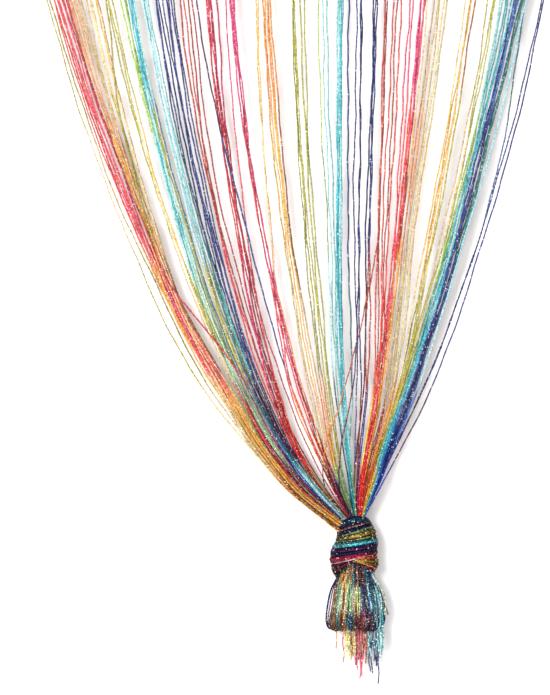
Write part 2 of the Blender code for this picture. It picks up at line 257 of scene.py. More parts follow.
@dataclass(frozen=True)
class FoilThreadFinish:
    """Foil thread: a dyed core in foil, with painted glints: short flecks at random that turn pale and glow,
    standing in for the foil's flashes of reflected light.

    contrast is how deep the uneven tone gets, and tone_from and tone_to the sums of chance and
    noise that it runs between. painted_glint_share is how many of the cells take a painted glint,
    painted_glint_rows how many cells there are around a string, and painted_glint_fall how few of
    the painted glints are bright. speck_share is how many stretches are dark. hush and dimming say
    how much calmer and darker a pale dye is; they come in between the brightnesses pale_from and
    pale_to.
    """

    name: str = "foil_thread"
    contrast: float = 0.45
    tone_seed: float = 9.0
    tone_waves_per_metre: float = 28.0
    tone_from: float = 0.3
    tone_to: float = 1.5
    gloss: float = 0.2
    metal: float = 0.15
    painted_glint_metal: float = 0.4
    roughness: float = 0.5
    painted_glint_polish: float = 0.2
    painted_glint_share: float = 0.045
    painted_glint_length: float = 0.8 * MM
    painted_glint_rows: float = 4.0
    painted_glint_power: float = 2.2
    painted_glint_fall: float = 2.2
    painted_glint_gamma: float = 0.35
    painted_glint_white: float = 0.4
    painted_glint_cover: float = 0.85
    hush: float = 0.4
    dimming: float = 0.15
    pale_from: float = 0.15
    pale_to: float = 0.6
    speck_seed: float = 5.0
    speck_length: float = 1.7 * MM
    speck_share: float = 0.26
    speck_depth: float = 0.6
    speck_black: float = 0.85
    ply_pitch: float = 3.0 * MM
    ply_height: float = 0.25 * MM
    ply_strength: float = 0.3

    def material(self) -> bpy.types.Material:
        """Make the material from the string's own colour, its dye with painted light and shade, and UV map:
        metres along, and turns around.

        The map is cut into small cells that slant with the ply, each with its own random number;
        the highest are painted glints, few of them bright: painted highlights that turn pale and
        glow. Longer cells right round the string give it dark specks and an uneven tone, and a slow
        noise changes its depth of colour. Pale dyes are a little dimmed, and calmer in all of this.
        The ply is a sine of the slanted way around, raised by a bump.

        Returns:
            The material.
        """
        graph = Graph(self.name)
        # The colour attribute holds the dye with painted light and shade worked in.
        dye_and_painted_light = graph.node("ShaderNodeAttribute", {"attribute_name": "dye_and_painted_light"}, {}, "Color")
        place = graph.node("ShaderNodeUVMap", {"uv_map": "thread"}, {})
        along = graph.node("ShaderNodeSeparateXYZ", {}, {0: place}, 0)
        around = graph.node("ShaderNodeSeparateXYZ", {}, {0: place}, 1)
        slanted = around + along / self.ply_pitch
        luck = graph.chance((slanted * self.painted_glint_rows).floor(), (along / self.painted_glint_length).floor())
        bright = graph.share(graph.node("ShaderNodeRGBToBW", {}, {0: dye_and_painted_light}), self.pale_from, self.pale_to)
        lively = 1.0 - self.hush * bright
        # Painted highlights: the luckiest cells become painted glints, fewer where the dye is pale.
        painted_glint = graph.share(luck, 1.0 - self.painted_glint_share, 1.0) ** self.painted_glint_fall * lively
        stretch = (along / self.speck_length).floor()
        speck = graph.chance(self.speck_seed, stretch) < self.speck_share
        tone = graph.chance(self.tone_seed, stretch)
        waves = along * self.tone_waves_per_metre
        slow = graph.node("ShaderNodeTexNoise", {"noise_dimensions": "1D"}, {"W": waves, "Detail": 2.0}, 0)
        full = graph.blend(self.dimming * bright, dye_and_painted_light, BLACK)
        deep = graph.blend(self.contrast * lively, full, BLACK)
        painted_glint_tint = graph.node("ShaderNodeGamma", {}, {0: dye_and_painted_light, 1: self.painted_glint_gamma})
        pale = graph.blend(self.painted_glint_white, painted_glint_tint, WHITE)
        colour = graph.blend(graph.share(tone + slow, self.tone_from, self.tone_to), deep, full)
        dark = graph.blend(self.speck_black, full, BLACK)
        colour = graph.blend(speck * self.speck_depth * lively, colour, dark)
        # Painted glints: the colour goes pale here, and below they glow by an emission in that pale colour
        # while metal and polish rise.
        colour = graph.blend(painted_glint * self.painted_glint_cover, colour, pale)
        graph.feed(
            Base_Color=colour,
            Metallic=self.metal + self.painted_glint_metal * painted_glint,
            Roughness=self.roughness - self.painted_glint_polish * painted_glint,
            Specular_IOR_Level=self.gloss,
            Emission_Color=graph.blend(painted_glint, BLACK, pale),
            Emission_Strength=self.painted_glint_power,
            Normal=graph.bump(self.ply_strength, self.ply_height, (slanted * FULL_TURN).sine()),
        )
        return graph.material


@dataclass(frozen=True)
class TapeFinish:
    """A dense woven tape whose warp takes the colours of the strings below it."""

    rib_pitch: float = 2.2 * MM
    pick_pitch: float = 1.4 * MM
    weave_height: float = 0.4 * MM
    weave_strength: float = 0.7
    painted_shade_colour: tuple[float, ...] = (0.02, 0.02, 0.03, 1.0)
    painted_shade_depth: float = 0.35
    glint_colour: tuple[float, ...] = (0.9, 0.88, 0.84, 1.0)
    glint_from: float = 0.93
    glint_cover: float = 0.8
    metal: float = 0.2
    roughness: float = 0.55
    glint_polish: float = 0.25

    def material(self) -> bpy.types.Material:
        """Make the material: thread colours from the mesh, darkened cell by cell by a random share of
        painted shade and turned pale in a few cells as painted glints, with ribs and picks as a bump.

        The weave is a product of two sines, one across the tape and one down it.

        Returns:
            The material.
        """
        graph = Graph("woven_tape")
        thread = graph.node("ShaderNodeAttribute", {"attribute_name": "thread_colour"}, {}, "Color")
        place = graph.node("ShaderNodeTexCoord", {}, {}, "Object")
        across = graph.node("ShaderNodeSeparateXYZ", {}, {0: place}, 0)
        down = graph.node("ShaderNodeSeparateXYZ", {}, {0: place}, 2)
        ribs = (across * (FULL_TURN / self.rib_pitch)).sine()
        picks = (down * (FULL_TURN / self.pick_pitch)).sine()
        luck = graph.chance((across / self.rib_pitch).floor(), (down / self.pick_pitch).floor())
        # Painted highlight and shade: a few random weave cells are painted glints, and every cell takes a
        # random share of painted shade.
        glint = luck > self.glint_from
        colour = graph.blend(self.painted_shade_depth * luck, thread, self.painted_shade_colour)
        graph.feed(
            Base_Color=graph.blend(glint * self.glint_cover, colour, self.glint_colour),
            Metallic=self.metal,
            Roughness=self.roughness - self.glint_polish * glint,
            Normal=graph.bump(self.weave_strength, self.weave_height, ribs * picks),
        )
        return graph.material


@dataclass(frozen=True)
class PlainFinish:
    """A matt painted surface for the studio."""

    name: str
    colour: tuple[float, float, float]
    one_sided: bool = False
    roughness: float = 0.9

    def material(self) -> bpy.types.Material:
        """Make the material, clear on its back where it is one-sided.

        Returns:
            The material.
        """
        graph = Graph(self.name)
        graph.feed(Base_Color=(*self.colour, 1.0), Roughness=self.roughness, Specular_IOR_Level=0.0)
        if self.one_sided:
            back = graph.node("ShaderNodeNewGeometry", {}, {}, "Backfacing")
            clear = graph.node("ShaderNodeBsdfTransparent", {}, {})
            paint = Signal(graph, graph.shader.outputs[0])
            both = graph.node("ShaderNodeMixShader", {}, {0: back, 1: paint, 2: clear})
            graph.tree.links.new(both.socket, graph.tree.nodes["Material Output"].inputs["Surface"])
        return graph.material


class Dyehouse:
    """Keeps one material for each finish that is in use."""

    def __init__(self) -> None:
        """Start with none."""
        self._made: dict[Any, bpy.types.Material] = {}

    def material(self, finish: Any) -> bpy.types.Material:
        """Return the finish's material, made the first time.

        Args:
            finish: a finish with a material method.

        Returns:
            The material.
        """
        if finish not in self._made:
            self._made[finish] = finish.material()
        return self._made[finish]


# Shapes


def ramp(values: Any, start: Any, length: float) -> Rows:
    """Rise evenly from nought at a start to one a length further on, and stay there."""
    return np.clip((values - start) / length, 0.0, 1.0)


def smooth_step(values: Any, start: Any, length: float) -> Rows:
    """Rise as a ramp does but with level ends: three times its square less twice its cube."""
    share = ramp(values, start, length)
    return share * share * (3.0 - 2.0 * share)


def smooth_through(stations: Rows, values: Rows, places: Rows) -> Rows:
    """Read a smooth curve through values at rising stations, along the last axis.

    Each stretch is a cubic, whose slopes at its ends are those of the two stretches that meet
    there, weighted by how near they are.

    Args:
        stations: rising places of the values.
        values: values, with the stations along the last axis.
        places: where to read the curve.

    Returns:
        The values there, with the places along the last axis.
    """
    stations, values = np.asarray(stations, float), np.asarray(values, float)
    step = np.diff(stations)
    slope = np.diff(values, axis=-1) / step
    inner = (slope[..., :-1] * step[1:] + slope[..., 1:] * step[:-1]) / (step[1:] + step[:-1])
    slopes = np.concatenate([slope[..., :1], inner, slope[..., -1:]], axis=-1)
    stretch = np.clip(np.searchsorted(stations, places, side="right") - 1, 0, len(step) - 1)
    share = (places - stations[stretch]) / step[stretch]
    start, end = values[..., stretch], values[..., stretch + 1]
    leave, arrive = slopes[..., stretch] * step[stretch], slopes[..., stretch + 1] * step[stretch]
    rest = 1.0 - share
    curve = start * (1.0 + 2.0 * share) * rest**2 + end * share**2 * (3.0 - 2.0 * share)
    return curve + leave * share * rest**2 - arrive * share**2 * rest


def unit(vectors: Rows) -> Rows:
    """Bring vectors along the last axis to length one."""
    return vectors / np.maximum(np.linalg.norm(vectors, axis=-1, keepdims=True), NEXT_TO_NOTHING)


@dataclass(frozen=True)
class Thread:
    """The section of a string: a flat ellipse that turns as it goes along.

    A string's seed times seed_turn is where its twist starts, and times seed_metres where it
    starts on the finish, so that no two strings look the same.
    """

    half_width: float = 1.05 * MM
    flatness: float = 0.92
    sides: int = 6
    twist_pitch: float = 26.0 * MM
    seed_turn: float = 2.4
    seed_metres: float = 3.7

    def tubes(
        self, name: str, paths: Rows, away: Rows, shares: Any, seeds: Rows, dyes_and_painted_light: Rows
    ) -> bpy.types.Object:
        """Join strings along paths to one mesh object.

        A string's surface is its path plus a turned ellipse square to it: half_width times the
        cosine of the way around on one side, and flatness times as much of the sine on the other.

        Args:
            name: the object's name.
            paths: string, point along, coordinate.
            away: a direction for each point, or one for all, square to the section's first axis
                before it turns.
            shares: the width at each point as a share of half_width, or one share for all.
            seeds: a number for each string, even ones twisting one way and odd ones the other.
            dyes_and_painted_light: the linear colour at each point, its dye with any painted light and shade.

        Returns:
            The object, with a UV map of metres along and turns around, and its colour: dye with painted light
            and shade.
        """
        count, points = paths.shape[:2]
        run = unit(np.gradient(paths, axis=1))
        side = unit(np.cross(np.broadcast_to(away, run.shape), run))
        front = np.cross(run, side)
        lengths = np.linalg.norm(np.diff(paths, axis=1), axis=2)
        along = np.concatenate([np.zeros((count, 1)), np.cumsum(lengths, axis=1)], axis=1)
        way = np.where(seeds % 2 < 1, 1, -1)[:, None]
        turn = FULL_TURN * (along / self.twist_pitch * way) + seeds[:, None] * self.seed_turn
        around = np.arange(self.sides) * (FULL_TURN / self.sides)
        wide, thin = np.cos(around), self.flatness * np.sin(around)
        cosine, sine = np.cos(turn)[..., None], np.sin(turn)[..., None]
        reach = (self.half_width * np.broadcast_to(shares, (count, points)))[..., None]
        sideways = (reach * (wide * cosine - thin * sine))[..., None] * side[:, :, None, :]
        forwards = (reach * (wide * sine + thin * cosine))[..., None] * front[:, :, None, :]
        rings = paths[:, :, None, :] + sideways + forwards
        index = np.arange(count * points * self.sides).reshape(count, points, self.sides)
        after = np.roll(index, -1, axis=2)
        quads = np.stack([index[:, :-1], after[:, :-1], after[:, 1:], index[:, 1:]], axis=-1).reshape(-1, 4)
        caps = np.concatenate([index[:, 0, ::-1], index[:, -1]])
        mesh = bpy.data.meshes.new(name)
        mesh.from_pydata(rings.reshape(-1, 3), [], quads.tolist() + caps.tolist())
        metres = np.broadcast_to((along + self.seed_metres * seeds[:, None])[..., None], index.shape)
        low = np.broadcast_to(np.arange(self.sides) / self.sides, index.shape)
        high = low + 1.0 / self.sides
        u_map = np.stack([metres[:, :-1], metres[:, :-1], metres[:, 1:], metres[:, 1:]], axis=-1)
        v_map = np.stack([low[:, :-1], high[:, :-1], high[:, 1:], low[:, 1:]], axis=-1)
        corners = np.stack([u_map, v_map], axis=-1).reshape(-1, 2)
        ends = np.zeros((caps.size, 2))
        ends[:, 0] = metres.reshape(-1)[caps.reshape(-1)]
        mesh.uv_layers.new(name="thread").data.foreach_set("uv", np.concatenate([corners, ends]).ravel())
        smooth = np.concatenate([np.ones(len(quads), bool), np.zeros(len(caps), bool)])
        mesh.polygons.foreach_set("use_smooth", smooth)
        # The strings' colour attribute: their dye with their painted light and shade.
        dyed(mesh, "dye_and_painted_light", np.broadcast_to(dyes_and_painted_light[:, :, None, :], (*index.shape, 3)).reshape(-1, 3))
        mesh.update()
        return placed(name, mesh)


def dyed(mesh: bpy.types.Mesh, name: str, colours: Rows) -> None:
    """Give a mesh a colour for each of its points.

    Args:
        mesh: the mesh.
        name: the colour attribute's name.
        colours: point, linear colour.
    """
    layer = mesh.color_attributes.new(name, "FLOAT_COLOR", "POINT")
    opaque = np.ones((len(colours), 4), np.float32)
    opaque[:, :3] = np.clip(colours, 0.0, 1.0)
    layer.data.foreach_set("color", opaque.ravel())


def faded(colours: Rows, share: Any, pale: Hue) -> Rows:
    """Bring colours towards a pale hue, dark ones much less than bright ones.

    The share is multiplied by the colour's brightness over that brightness and HALF_FADED_LIGHT.

    Args:
        colours: linear colours along the last axis.
        share: how far a very bright colour goes.
        pale: the hue that they go to.

    Returns:
        The paler colours.
    """
    light = colours.mean(axis=-1, keepdims=True)
    change = (np.array(pale.linear) - colours) * share
    return colours + change * light / (light + HALF_FADED_LIGHT)


def palette(groups: Sequence[Sequence[Hue]]) -> Rows:
    """Turn groups of hues into an array of group, hue, linear colour."""
    return np.array([[hue.linear for hue in hues] for hues in groups])


def placed(name: str, mesh: bpy.types.Mesh) -> bpy.types.Object:
    """Put a mesh into the scene.

    Args:
        name: the object's name.
        mesh: the mesh, in the frame's own place.

    Returns:
        The object, at the origin.
    """
    item = bpy.data.objects.new(name, mesh)
    bpy.context.scene.collection.objects.link(item)
    return item


def finished(item: bpy.types.Object, material: bpy.types.Material, node: str) -> bpy.types.Object:
    """Dress a piece, and say what it rides on and the node that it stands for.

    Args:
        item: the piece.
        material: its material.
        node: the CAD node that it replaces.

    Returns:
        The piece.
    """
    item.data.materials.append(material)
    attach(item, "root")
    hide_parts(node)
    return item


# Sub-assemblies


@dataclass
class StringWork:
    """A sub-assembly of strings, which stands for one CAD node."""

    dyehouse: Dyehouse
    node: str
    slot: str
    finish: FoilThreadFinish

    def dressed(self, item: bpy.types.Object) -> bpy.types.Object:
        """Give a piece this sub-assembly's finish and node."""
        return finished(item, self.dyehouse.material(self.finish), self.node)

    def piece(
        self, name: str, thread: Thread, paths: Rows, dyes_and_painted_light: Rows, seed: float,
        away: Rows = OUT_OF_THE_FRONT, shares: Any = 1.0
    ) -> bpy.types.Object:
        """Join strings to one piece and dress it.

        Args:
            name: the piece's name.
            thread: the strings' section.
            paths: string, point, coordinate.
            dyes_and_painted_light: string, point, linear colour, with painted light and shade.
            seed: the first string's seed, from which the next ones count on.
            away: the outward direction, for each point or for all.
            shares: the strings' width as a share of the thread's, for each point or for all.

        Returns:
            The piece.
        """
        seeds = seed + np.arange(len(paths), dtype=float)
        item = thread.tubes(name, paths, away, shares, seeds, dyes_and_painted_light)
        return self.dressed(item)


@dataclass(frozen=True)
class Dyeing:
    """Neighbouring strings of one dye, and their hues at the five colour heights from the top down."""

    strings: int
    top: Hue
    upper: Hue
    middle: Hue
    low: Hue
    neck: Hue

    @property
    def hues(self) -> tuple[Hue, ...]:
        """The five hues in order."""
        return (self.top, self.upper, self.middle, self.low, self.neck)


@dataclass(frozen=True)
class Run:
    """Neighbouring strings, by their numbers from the left."""

    first: int
    last: int

    @property
    def strings(self) -> slice:
        """The run's place in an array of all strings."""
        return slice(self.first, self.last + 1)


@dataclass(frozen=True)
class Width(Run):
    """How wide a run's strings are, as shares of the thread's width where they hang free and at the knot."""

    free: float
    neck: float


@dataclass(frozen=True)
class Step(Run):
    """How far a run's strings come forward low down, in mm."""

    forward: float


@dataclass(frozen=True)
class Sag(Run):
    """How far a run's strings sag above the knot, and how much lower they meet it, in mm."""

    outward: float
    down: float
    down_at_knot: float


@dataclass(frozen=True)
class Shift(Run):
    """How far a run's strings lie to one side around a drop, within a reach up and down, in mm."""

    drop: float
    reach: float
    sideways: float


@dataclass(frozen=True)
class Sway:
    """A sine along the strings, of random size between a least share of its reach and all of it."""

    wave: float
    reach: float
    least: float


@dataclass
class HangingStrings(StringWork):
    """The strings between the heading and the knot, on the lines of the CAD strings.

    The CAD strings have three corners at each level, and corners that agree to merge_decimals of
    a metre are one. tuck is how far the strings go on into the knot. The names that start alike
    belong to one change in the strings' lines or colours, which paths, clumped and
    dyes_and_painted_light explain. The heights and lengths of the dye changes are in mm.
    """

    node: str = "heading_strings"
    slot: str = "rainbow_string"
    finish: FoilThreadFinish = FoilThreadFinish()
    band_height: float = 40.0 * MM
    band_margin: float = 3.0 * MM
    corners: int = 3
    merge_decimals: int = 5
    samples: int = 240
    bundles: int = 8
    tuck: float = 9.0 * MM
    path_seed: int = 11
    dye_seed: int = 5
    thread: Thread = field(default_factory=Thread)
    neck_start: float = 0.75
    widths: tuple[Width, ...] = (
        Width(0, 24, free=1.0, neck=1.22),
        Width(25, 121, free=1.0, neck=0.82),
        Width(122, 127, free=1.25, neck=1.1),
        Width(128, 131, free=1.0, neck=0.82),
    )
    step_drop: float = 1120.0 * MM
    step_length: float = 120.0 * MM
    steps: tuple[Step, ...] = (
        Step(2, 10, forward=-5.0),
        Step(10, 10, forward=-8.0),
        Step(11, 22, forward=2.0),
        Step(27, 38, forward=6.0),
        Step(47, 50, forward=-4.0),
        Step(52, 57, forward=-4.0),
    )
    shifts: tuple[Shift, ...] = (
        Shift(0, 0, drop=1250.0, reach=38.0, sideways=6.5),
        Shift(1, 1, drop=1060.0, reach=55.0, sideways=5.0),
        Shift(1, 1, drop=1250.0, reach=38.0, sideways=3.0),
        Shift(6, 9, drop=1090.0, reach=80.0, sideways=-4.5),
        Shift(10, 10, drop=1060.0, reach=50.0, sideways=-11.0),
        Shift(11, 23, drop=1095.0, reach=75.0, sideways=-5.5),
        Shift(20, 22, drop=1060.0, reach=70.0, sideways=-3.5),
        Shift(128, 131, drop=860.0, reach=150.0, sideways=2.5),
    )
    sag_start: float = 1275.0 * MM
    sag_length: float = 45.0 * MM
    knot_start: float = 1315.0 * MM
    knot_length: float = 30.0 * MM
    sags: tuple[Sag, ...] = (
        Sag(0, 1, outward=3.0, down=2.6, down_at_knot=3.5),
        Sag(2, 3, outward=3.0, down=2.2, down_at_knot=-1.0),
        Sag(4, 9, outward=1.8, down=1.2, down_at_knot=0.0),
        Sag(11, 13, outward=3.0, down=2.6, down_at_knot=1.0),
        Sag(14, 16, outward=3.3, down=3.2, down_at_knot=3.0),
        Sag(17, 18, outward=3.0, down=2.9, down_at_knot=1.5),
        Sag(19, 20, outward=2.8, down=2.3, down_at_knot=-1.5),
        Sag(21, 24, outward=1.9, down=1.2, down_at_knot=-1.5),
        Sag(25, 30, outward=0.8, down=0.6, down_at_knot=0.0),
    )
    sways: tuple[Sway, ...] = (
        Sway(wave=310.0 * MM, reach=1.12 * MM, least=0.3),
        Sway(wave=130.0 * MM, reach=0.8 * MM, least=0.3),
        Sway(wave=52.0 * MM, reach=0.44 * MM, least=0.3),
        Sway(wave=21.0 * MM, reach=0.2 * MM, least=0.2),
        Sway(wave=12.5 * MM, reach=0.12 * MM, least=0.2),
    )
    sway_root: float = 150.0 * MM
    sway_end: float = 200.0 * MM
    sway_least: float = 0.06
    clump_most: int = 3
    clump_pull: float = 0.72
    clump_waves: tuple[float, float] = (500.0 * MM, 900.0 * MM)
    clump_reach: float = 8.0 * MM
    clump_root: float = 200.0 * MM
    clump_end: float = 1200.0 * MM
    clump_fade: float = 120.0 * MM
    clump_least: float = 0.25
    clump_depth: float = 1.4 * MM
    colour_heights: tuple[float, ...] = (750.0, 950.0, 1116.0, 1245.0, 1313.0)
    change_place: tuple[float, float] = (0.35, 0.7)
    change_length: float = 26.0
    shine: float = 1.5
    tones: tuple[float, float] = (0.62, 1.2)
    casts: tuple[float, float] = (0.92, 1.08)
    paleness: float = 0.11
    crowd_drop: float = 1180.0
    crowd_reach: float = 90.0
    crowd_painted_light_and_shade: tuple[float, float] = (0.55, 1.9)

    def dyeings(self) -> list[Dyeing]:
        """List the strings' dyes.

        Returns:
            The dyeings, from left to right.
        """
        plum, violet, navy, blue, teal, aqua, cyan = (
            Hue.PLUM, Hue.VIOLET, Hue.NAVY, Hue.BLUE, Hue.TEAL, Hue.AQUA, Hue.CYAN
        )
        mist, sage, lime, olive, sand, gold, amber = (
            Hue.MIST, Hue.SAGE, Hue.LIME, Hue.OLIVE, Hue.SAND, Hue.GOLD, Hue.AMBER
        )
        peach, orange, brown, brick, red, maroon = (
            Hue.PEACH, Hue.ORANGE, Hue.BROWN, Hue.BRICK, Hue.RED, Hue.MAROON
        )
        crimson, rose, magenta = Hue.CRIMSON, Hue.ROSE, Hue.MAGENTA
        return [
            Dyeing(2, olive, sand, olive, sand, gold),
            Dyeing(2, red, red, amber, amber, gold),
            Dyeing(2, rose, rose, gold, sand, amber),
            Dyeing(2, rose, rose, orange, amber, gold),
            Dyeing(2, crimson, crimson, rose, brick, plum),
            Dyeing(1, crimson, crimson, crimson, plum, olive),
            Dyeing(1, peach, peach, rose, peach, gold),
            Dyeing(2, peach, gold, crimson, amber, gold),
            Dyeing(2, peach, gold, rose, sand, amber),
            Dyeing(1, sand, gold, rose, brick, gold),
            Dyeing(2, sand, peach, peach, gold, brown),
            Dyeing(2, sand, olive, rose, amber, gold),
            Dyeing(2, gold, sand, brown, gold, orange),
            Dyeing(2, olive, olive, peach, olive, gold),
            Dyeing(1, olive, sand, olive, maroon, mist),
            Dyeing(1, olive, gold, olive, crimson, red),
            Dyeing(1, lime, cyan, olive, crimson, plum),
            Dyeing(2, lime, aqua, cyan, maroon, sage),
            Dyeing(2, aqua, cyan, mist, sage, maroon),
            Dyeing(2, aqua, olive, sage, mist, brown),
            Dyeing(1, cyan, teal, teal, maroon, navy),
            Dyeing(2, cyan, cyan, olive, teal, cyan),
            Dyeing(2, cyan, cyan, sage, plum, sage),
            Dyeing(1, navy, teal, teal, violet, navy),
            Dyeing(2, navy, navy, aqua, teal, cyan),
            Dyeing(1, navy, navy, navy, blue, cyan),
            Dyeing(3, navy, navy, navy, plum, cyan),
            Dyeing(1, navy, violet, violet, plum, aqua),
            Dyeing(2, brick, brick, rose, red, brown),
            Dyeing(2, brick, brick, brick, red, olive),
            Dyeing(1, plum, navy, navy, brick, maroon),
            Dyeing(2, crimson, crimson, magenta, plum, cyan),
            Dyeing(2, rose, red, crimson, red, brown),
            Dyeing(2, magenta, crimson, crimson, brick, crimson),
            Dyeing(2, magenta, rose, rose, red, crimson),
            Dyeing(2, magenta, crimson, magenta, brick, plum),
            Dyeing(1, magenta, magenta, orange, brick, plum),
            Dyeing(2, gold, sand, rose, orange, brown),
            Dyeing(2, orange, gold, sand, peach, maroon),
            Dyeing(2, orange, gold, gold, peach, plum),
            Dyeing(1, orange, brown, sand, orange, olive),
            Dyeing(2, olive, olive, olive, orange, lime),
            Dyeing(3, olive, olive, olive, olive, sage),
            Dyeing(1, lime, sage, cyan, teal, teal),
            Dyeing(2, cyan, cyan, cyan, cyan, cyan),
            Dyeing(3, cyan, aqua, aqua, aqua, aqua),
            Dyeing(2, aqua, cyan, aqua, cyan, sage),
            Dyeing(1, navy, navy, teal, cyan, aqua),
            Dyeing(1, violet, navy, violet, blue, brown),
            Dyeing(2, navy, navy, navy, maroon, plum),
            Dyeing(1, navy, navy, plum, maroon, peach),
            Dyeing(2, navy, navy, brick, violet, maroon),
            Dyeing(3, brick, brick, brick, orange, maroon),
            Dyeing(3, brick, brick, red, red, red),
            Dyeing(2, magenta, rose, crimson, red, red),
            Dyeing(3, magenta, red, crimson, red, red),
            Dyeing(2, magenta, crimson, orange, orange, red),
            Dyeing(1, peach, orange, orange, peach, orange),
            Dyeing(2, sand, orange, sand, brick, orange),
            Dyeing(2, sand, sand, sand, orange, red),
            Dyeing(2, sand, gold, sand, gold, orange),
            Dyeing(3, gold, gold, olive, gold, gold),
            Dyeing(1, brown, olive, sand, lime, gold),
            Dyeing(2, olive, sand, olive, olive, orange),
            Dyeing(1, olive, olive, lime, lime, gold),
            Dyeing(2, cyan, lime, olive, aqua, gold),
            Dyeing(3, aqua, aqua, aqua, aqua, olive),
            Dyeing(1, navy, navy, aqua, blue, cyan),
            Dyeing(3, blue, navy, navy, navy, blue),
            Dyeing(2, teal, teal, navy, navy, navy),
            Dyeing(1, teal, blue, navy, navy, navy),
            Dyeing(1, cyan, cyan, cyan, blue, navy),
            Dyeing(2, navy, navy, navy, plum, navy),
        ]

    def hues(self) -> list[tuple[Hue, ...]]:
        """Name each string's hues."""
        return [dyeing.hues for dyeing in self.dyeings() for _ in range(dyeing.strings)]

    def dyes_and_painted_light(self, drops: Rows) -> Rows:
        """Work out each string's colour along its way.

        A string keeps the hue of one colour height up to a random place on the way to the next,
        and changes over by a smooth step there. Each string is a little lighter or darker than
        its dye. Up where they hang free all are a little paler, and down where they crowd near the
        knot their lightness is spread wider at random, as painted light and shade among the crowded
        strings.

        Args:
            drops: how far each point lies below the top edge, in mm.

        Returns:
            String, point, linear colour.
        """
        random = np.random.default_rng(self.dye_seed)
        stages = palette(self.hues())
        count = len(stages)
        colour = np.repeat(stages[:, :1], len(drops), axis=1)
        for stage, (start, end) in enumerate(zip(self.colour_heights, self.colour_heights[1:])):
            change = start + (end - start) * random.uniform(*self.change_place, (count, 1))
            share = smooth_step(drops, change - 0.5 * self.change_length, self.change_length)[..., None]
            colour = colour + (stages[:, None, stage + 1] - stages[:, None, stage]) * share
        own = random.uniform(*self.tones, (count, 1, 1)) * self.shine
        own = own * random.uniform(*self.casts, (count, 1, 3))
        crowd = ramp(drops, self.crowd_drop, self.crowd_reach)[:, None]
        colour = faded(colour, self.paleness * (1.0 - crowd), Hue.IVORY)
        # Painted light and shade: where the strings crowd, each is made lighter or darker at random.
        return colour * own * (1.0 + (random.uniform(*self.crowd_painted_light_and_shade, (count, 1, 1)) - 1.0) * crowd)

    def cad_lines(self) -> Rows:
        """Find the middle line of each CAD string in its node's mesh.

        Points below the band that triangles join are one string. Its corners, sorted from the
        top down, are three for each level, and their mean is the middle there.

        Returns:
            String, level, coordinate, with the strings in order along the band.
        """
        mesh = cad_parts[self.node].data
        loose = np.empty(3 * len(mesh.vertices), np.float32)
        mesh.vertices.foreach_get("co", loose)
        points = np.round(loose.reshape(-1, 3).astype(float), self.merge_decimals)
        points, merged = np.unique(points, axis=0, return_inverse=True)
        mesh.calc_loop_triangles()
        triangles = np.empty(3 * len(mesh.loop_triangles), np.int32)
        mesh.loop_triangles.foreach_get("vertices", triangles)
        triangles = merged.reshape(-1)[triangles].reshape(-1, 3)
        hanging = points[:, 2] < -self.band_height - MM
        edges = np.concatenate([triangles[:, [0, 1]], triangles[:, [1, 2]], triangles[:, [2, 0]]])
        edges = edges[hanging[edges].all(axis=1)]
        label = np.arange(len(points))
        while True:
            least = label[edges].min(axis=1)
            before = label.copy()
            np.minimum.at(label, edges[:, 0], least)
            np.minimum.at(label, edges[:, 1], least)
            if (label == before).all():
                break
        kept = np.flatnonzero(hanging)
        kept = kept[np.lexsort((-points[kept, 2], label[kept]))]
        strings = len(np.unique(label[kept]))
        lines = points[kept].reshape(strings, -1, self.corners, 3).mean(axis=2)
        return lines[np.argsort(lines[:, 0, 0])]

    def paths(self) -> Rows:
        """Lay a smooth, slightly swaying line through each CAD string's levels.

        The roots are evenly spaced along the band. Each coordinate is a smooth curve over the
        levels. Low down some strings come forward by a smooth step, and some lie further to one
        side around a drop, by a bell curve. The outer lock sags above the knot by a smooth step,
        and spreads as it meets the knot. A few sines of different wavelengths with random phases
        are added sideways and in depth, fading at both ends.

        Returns:
            String, point, coordinate.
        """
        lines = self.cad_lines()
        count = len(lines)
        low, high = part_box(self.node)
        roots = np.zeros((count, 1, 3))
        roots[:, 0, 0] = np.linspace(low.x + self.band_margin, high.x - self.band_margin, count)
        roots[:, 0, 2] = -self.band_height
        ends = lines[:, -1:] + unit(lines[:, -1:] - lines[:, -2:-1]) * self.tuck
        lines = np.concatenate([roots, lines, ends], axis=1)
        stations = -lines[:, :, 2].mean(axis=0)
        places = np.linspace(stations[0], stations[-1], self.samples)
        curves = smooth_through(stations, lines.transpose(0, 2, 1), places).transpose(0, 2, 1)
        low_down = smooth_step(places, self.step_drop, self.step_length)
        for step in self.steps:
            curves[step.strings, :, 1] -= step.forward * MM * low_down
        for shift in self.shifts:
            bell = np.exp(-(((places / MM - shift.drop) / shift.reach) ** 2))
            curves[shift.strings, :, 0] += shift.sideways * MM * bell
        sagging = smooth_step(places, self.sag_start, self.sag_length)
        at_knot = ramp(places, self.knot_start, self.knot_length)
        for sag in self.sags:
            curves[sag.strings, :, 0] -= sag.outward * MM * sagging
            curves[sag.strings, :, 2] -= (sag.down * sagging + sag.down_at_knot * at_knot) * MM
        random = np.random.default_rng(self.path_seed)
        curves = self.clumped(curves, places, random)
        free = np.clip((stations[-1] - places) / self.sway_end, self.sway_least, 1.0)
        free = free * ramp(places, stations[0], self.sway_root)
        for sway in self.sways:
            phase = random.uniform(0.0, FULL_TURN, (count, 2, 1))
            size = random.uniform(sway.least, 1.0, (count, 2, 1)) * sway.reach * free
            curves[:, :, :2] += (size * np.sin(FULL_TURN * places / sway.wave + phase)).transpose(0, 2, 1)
        return curves

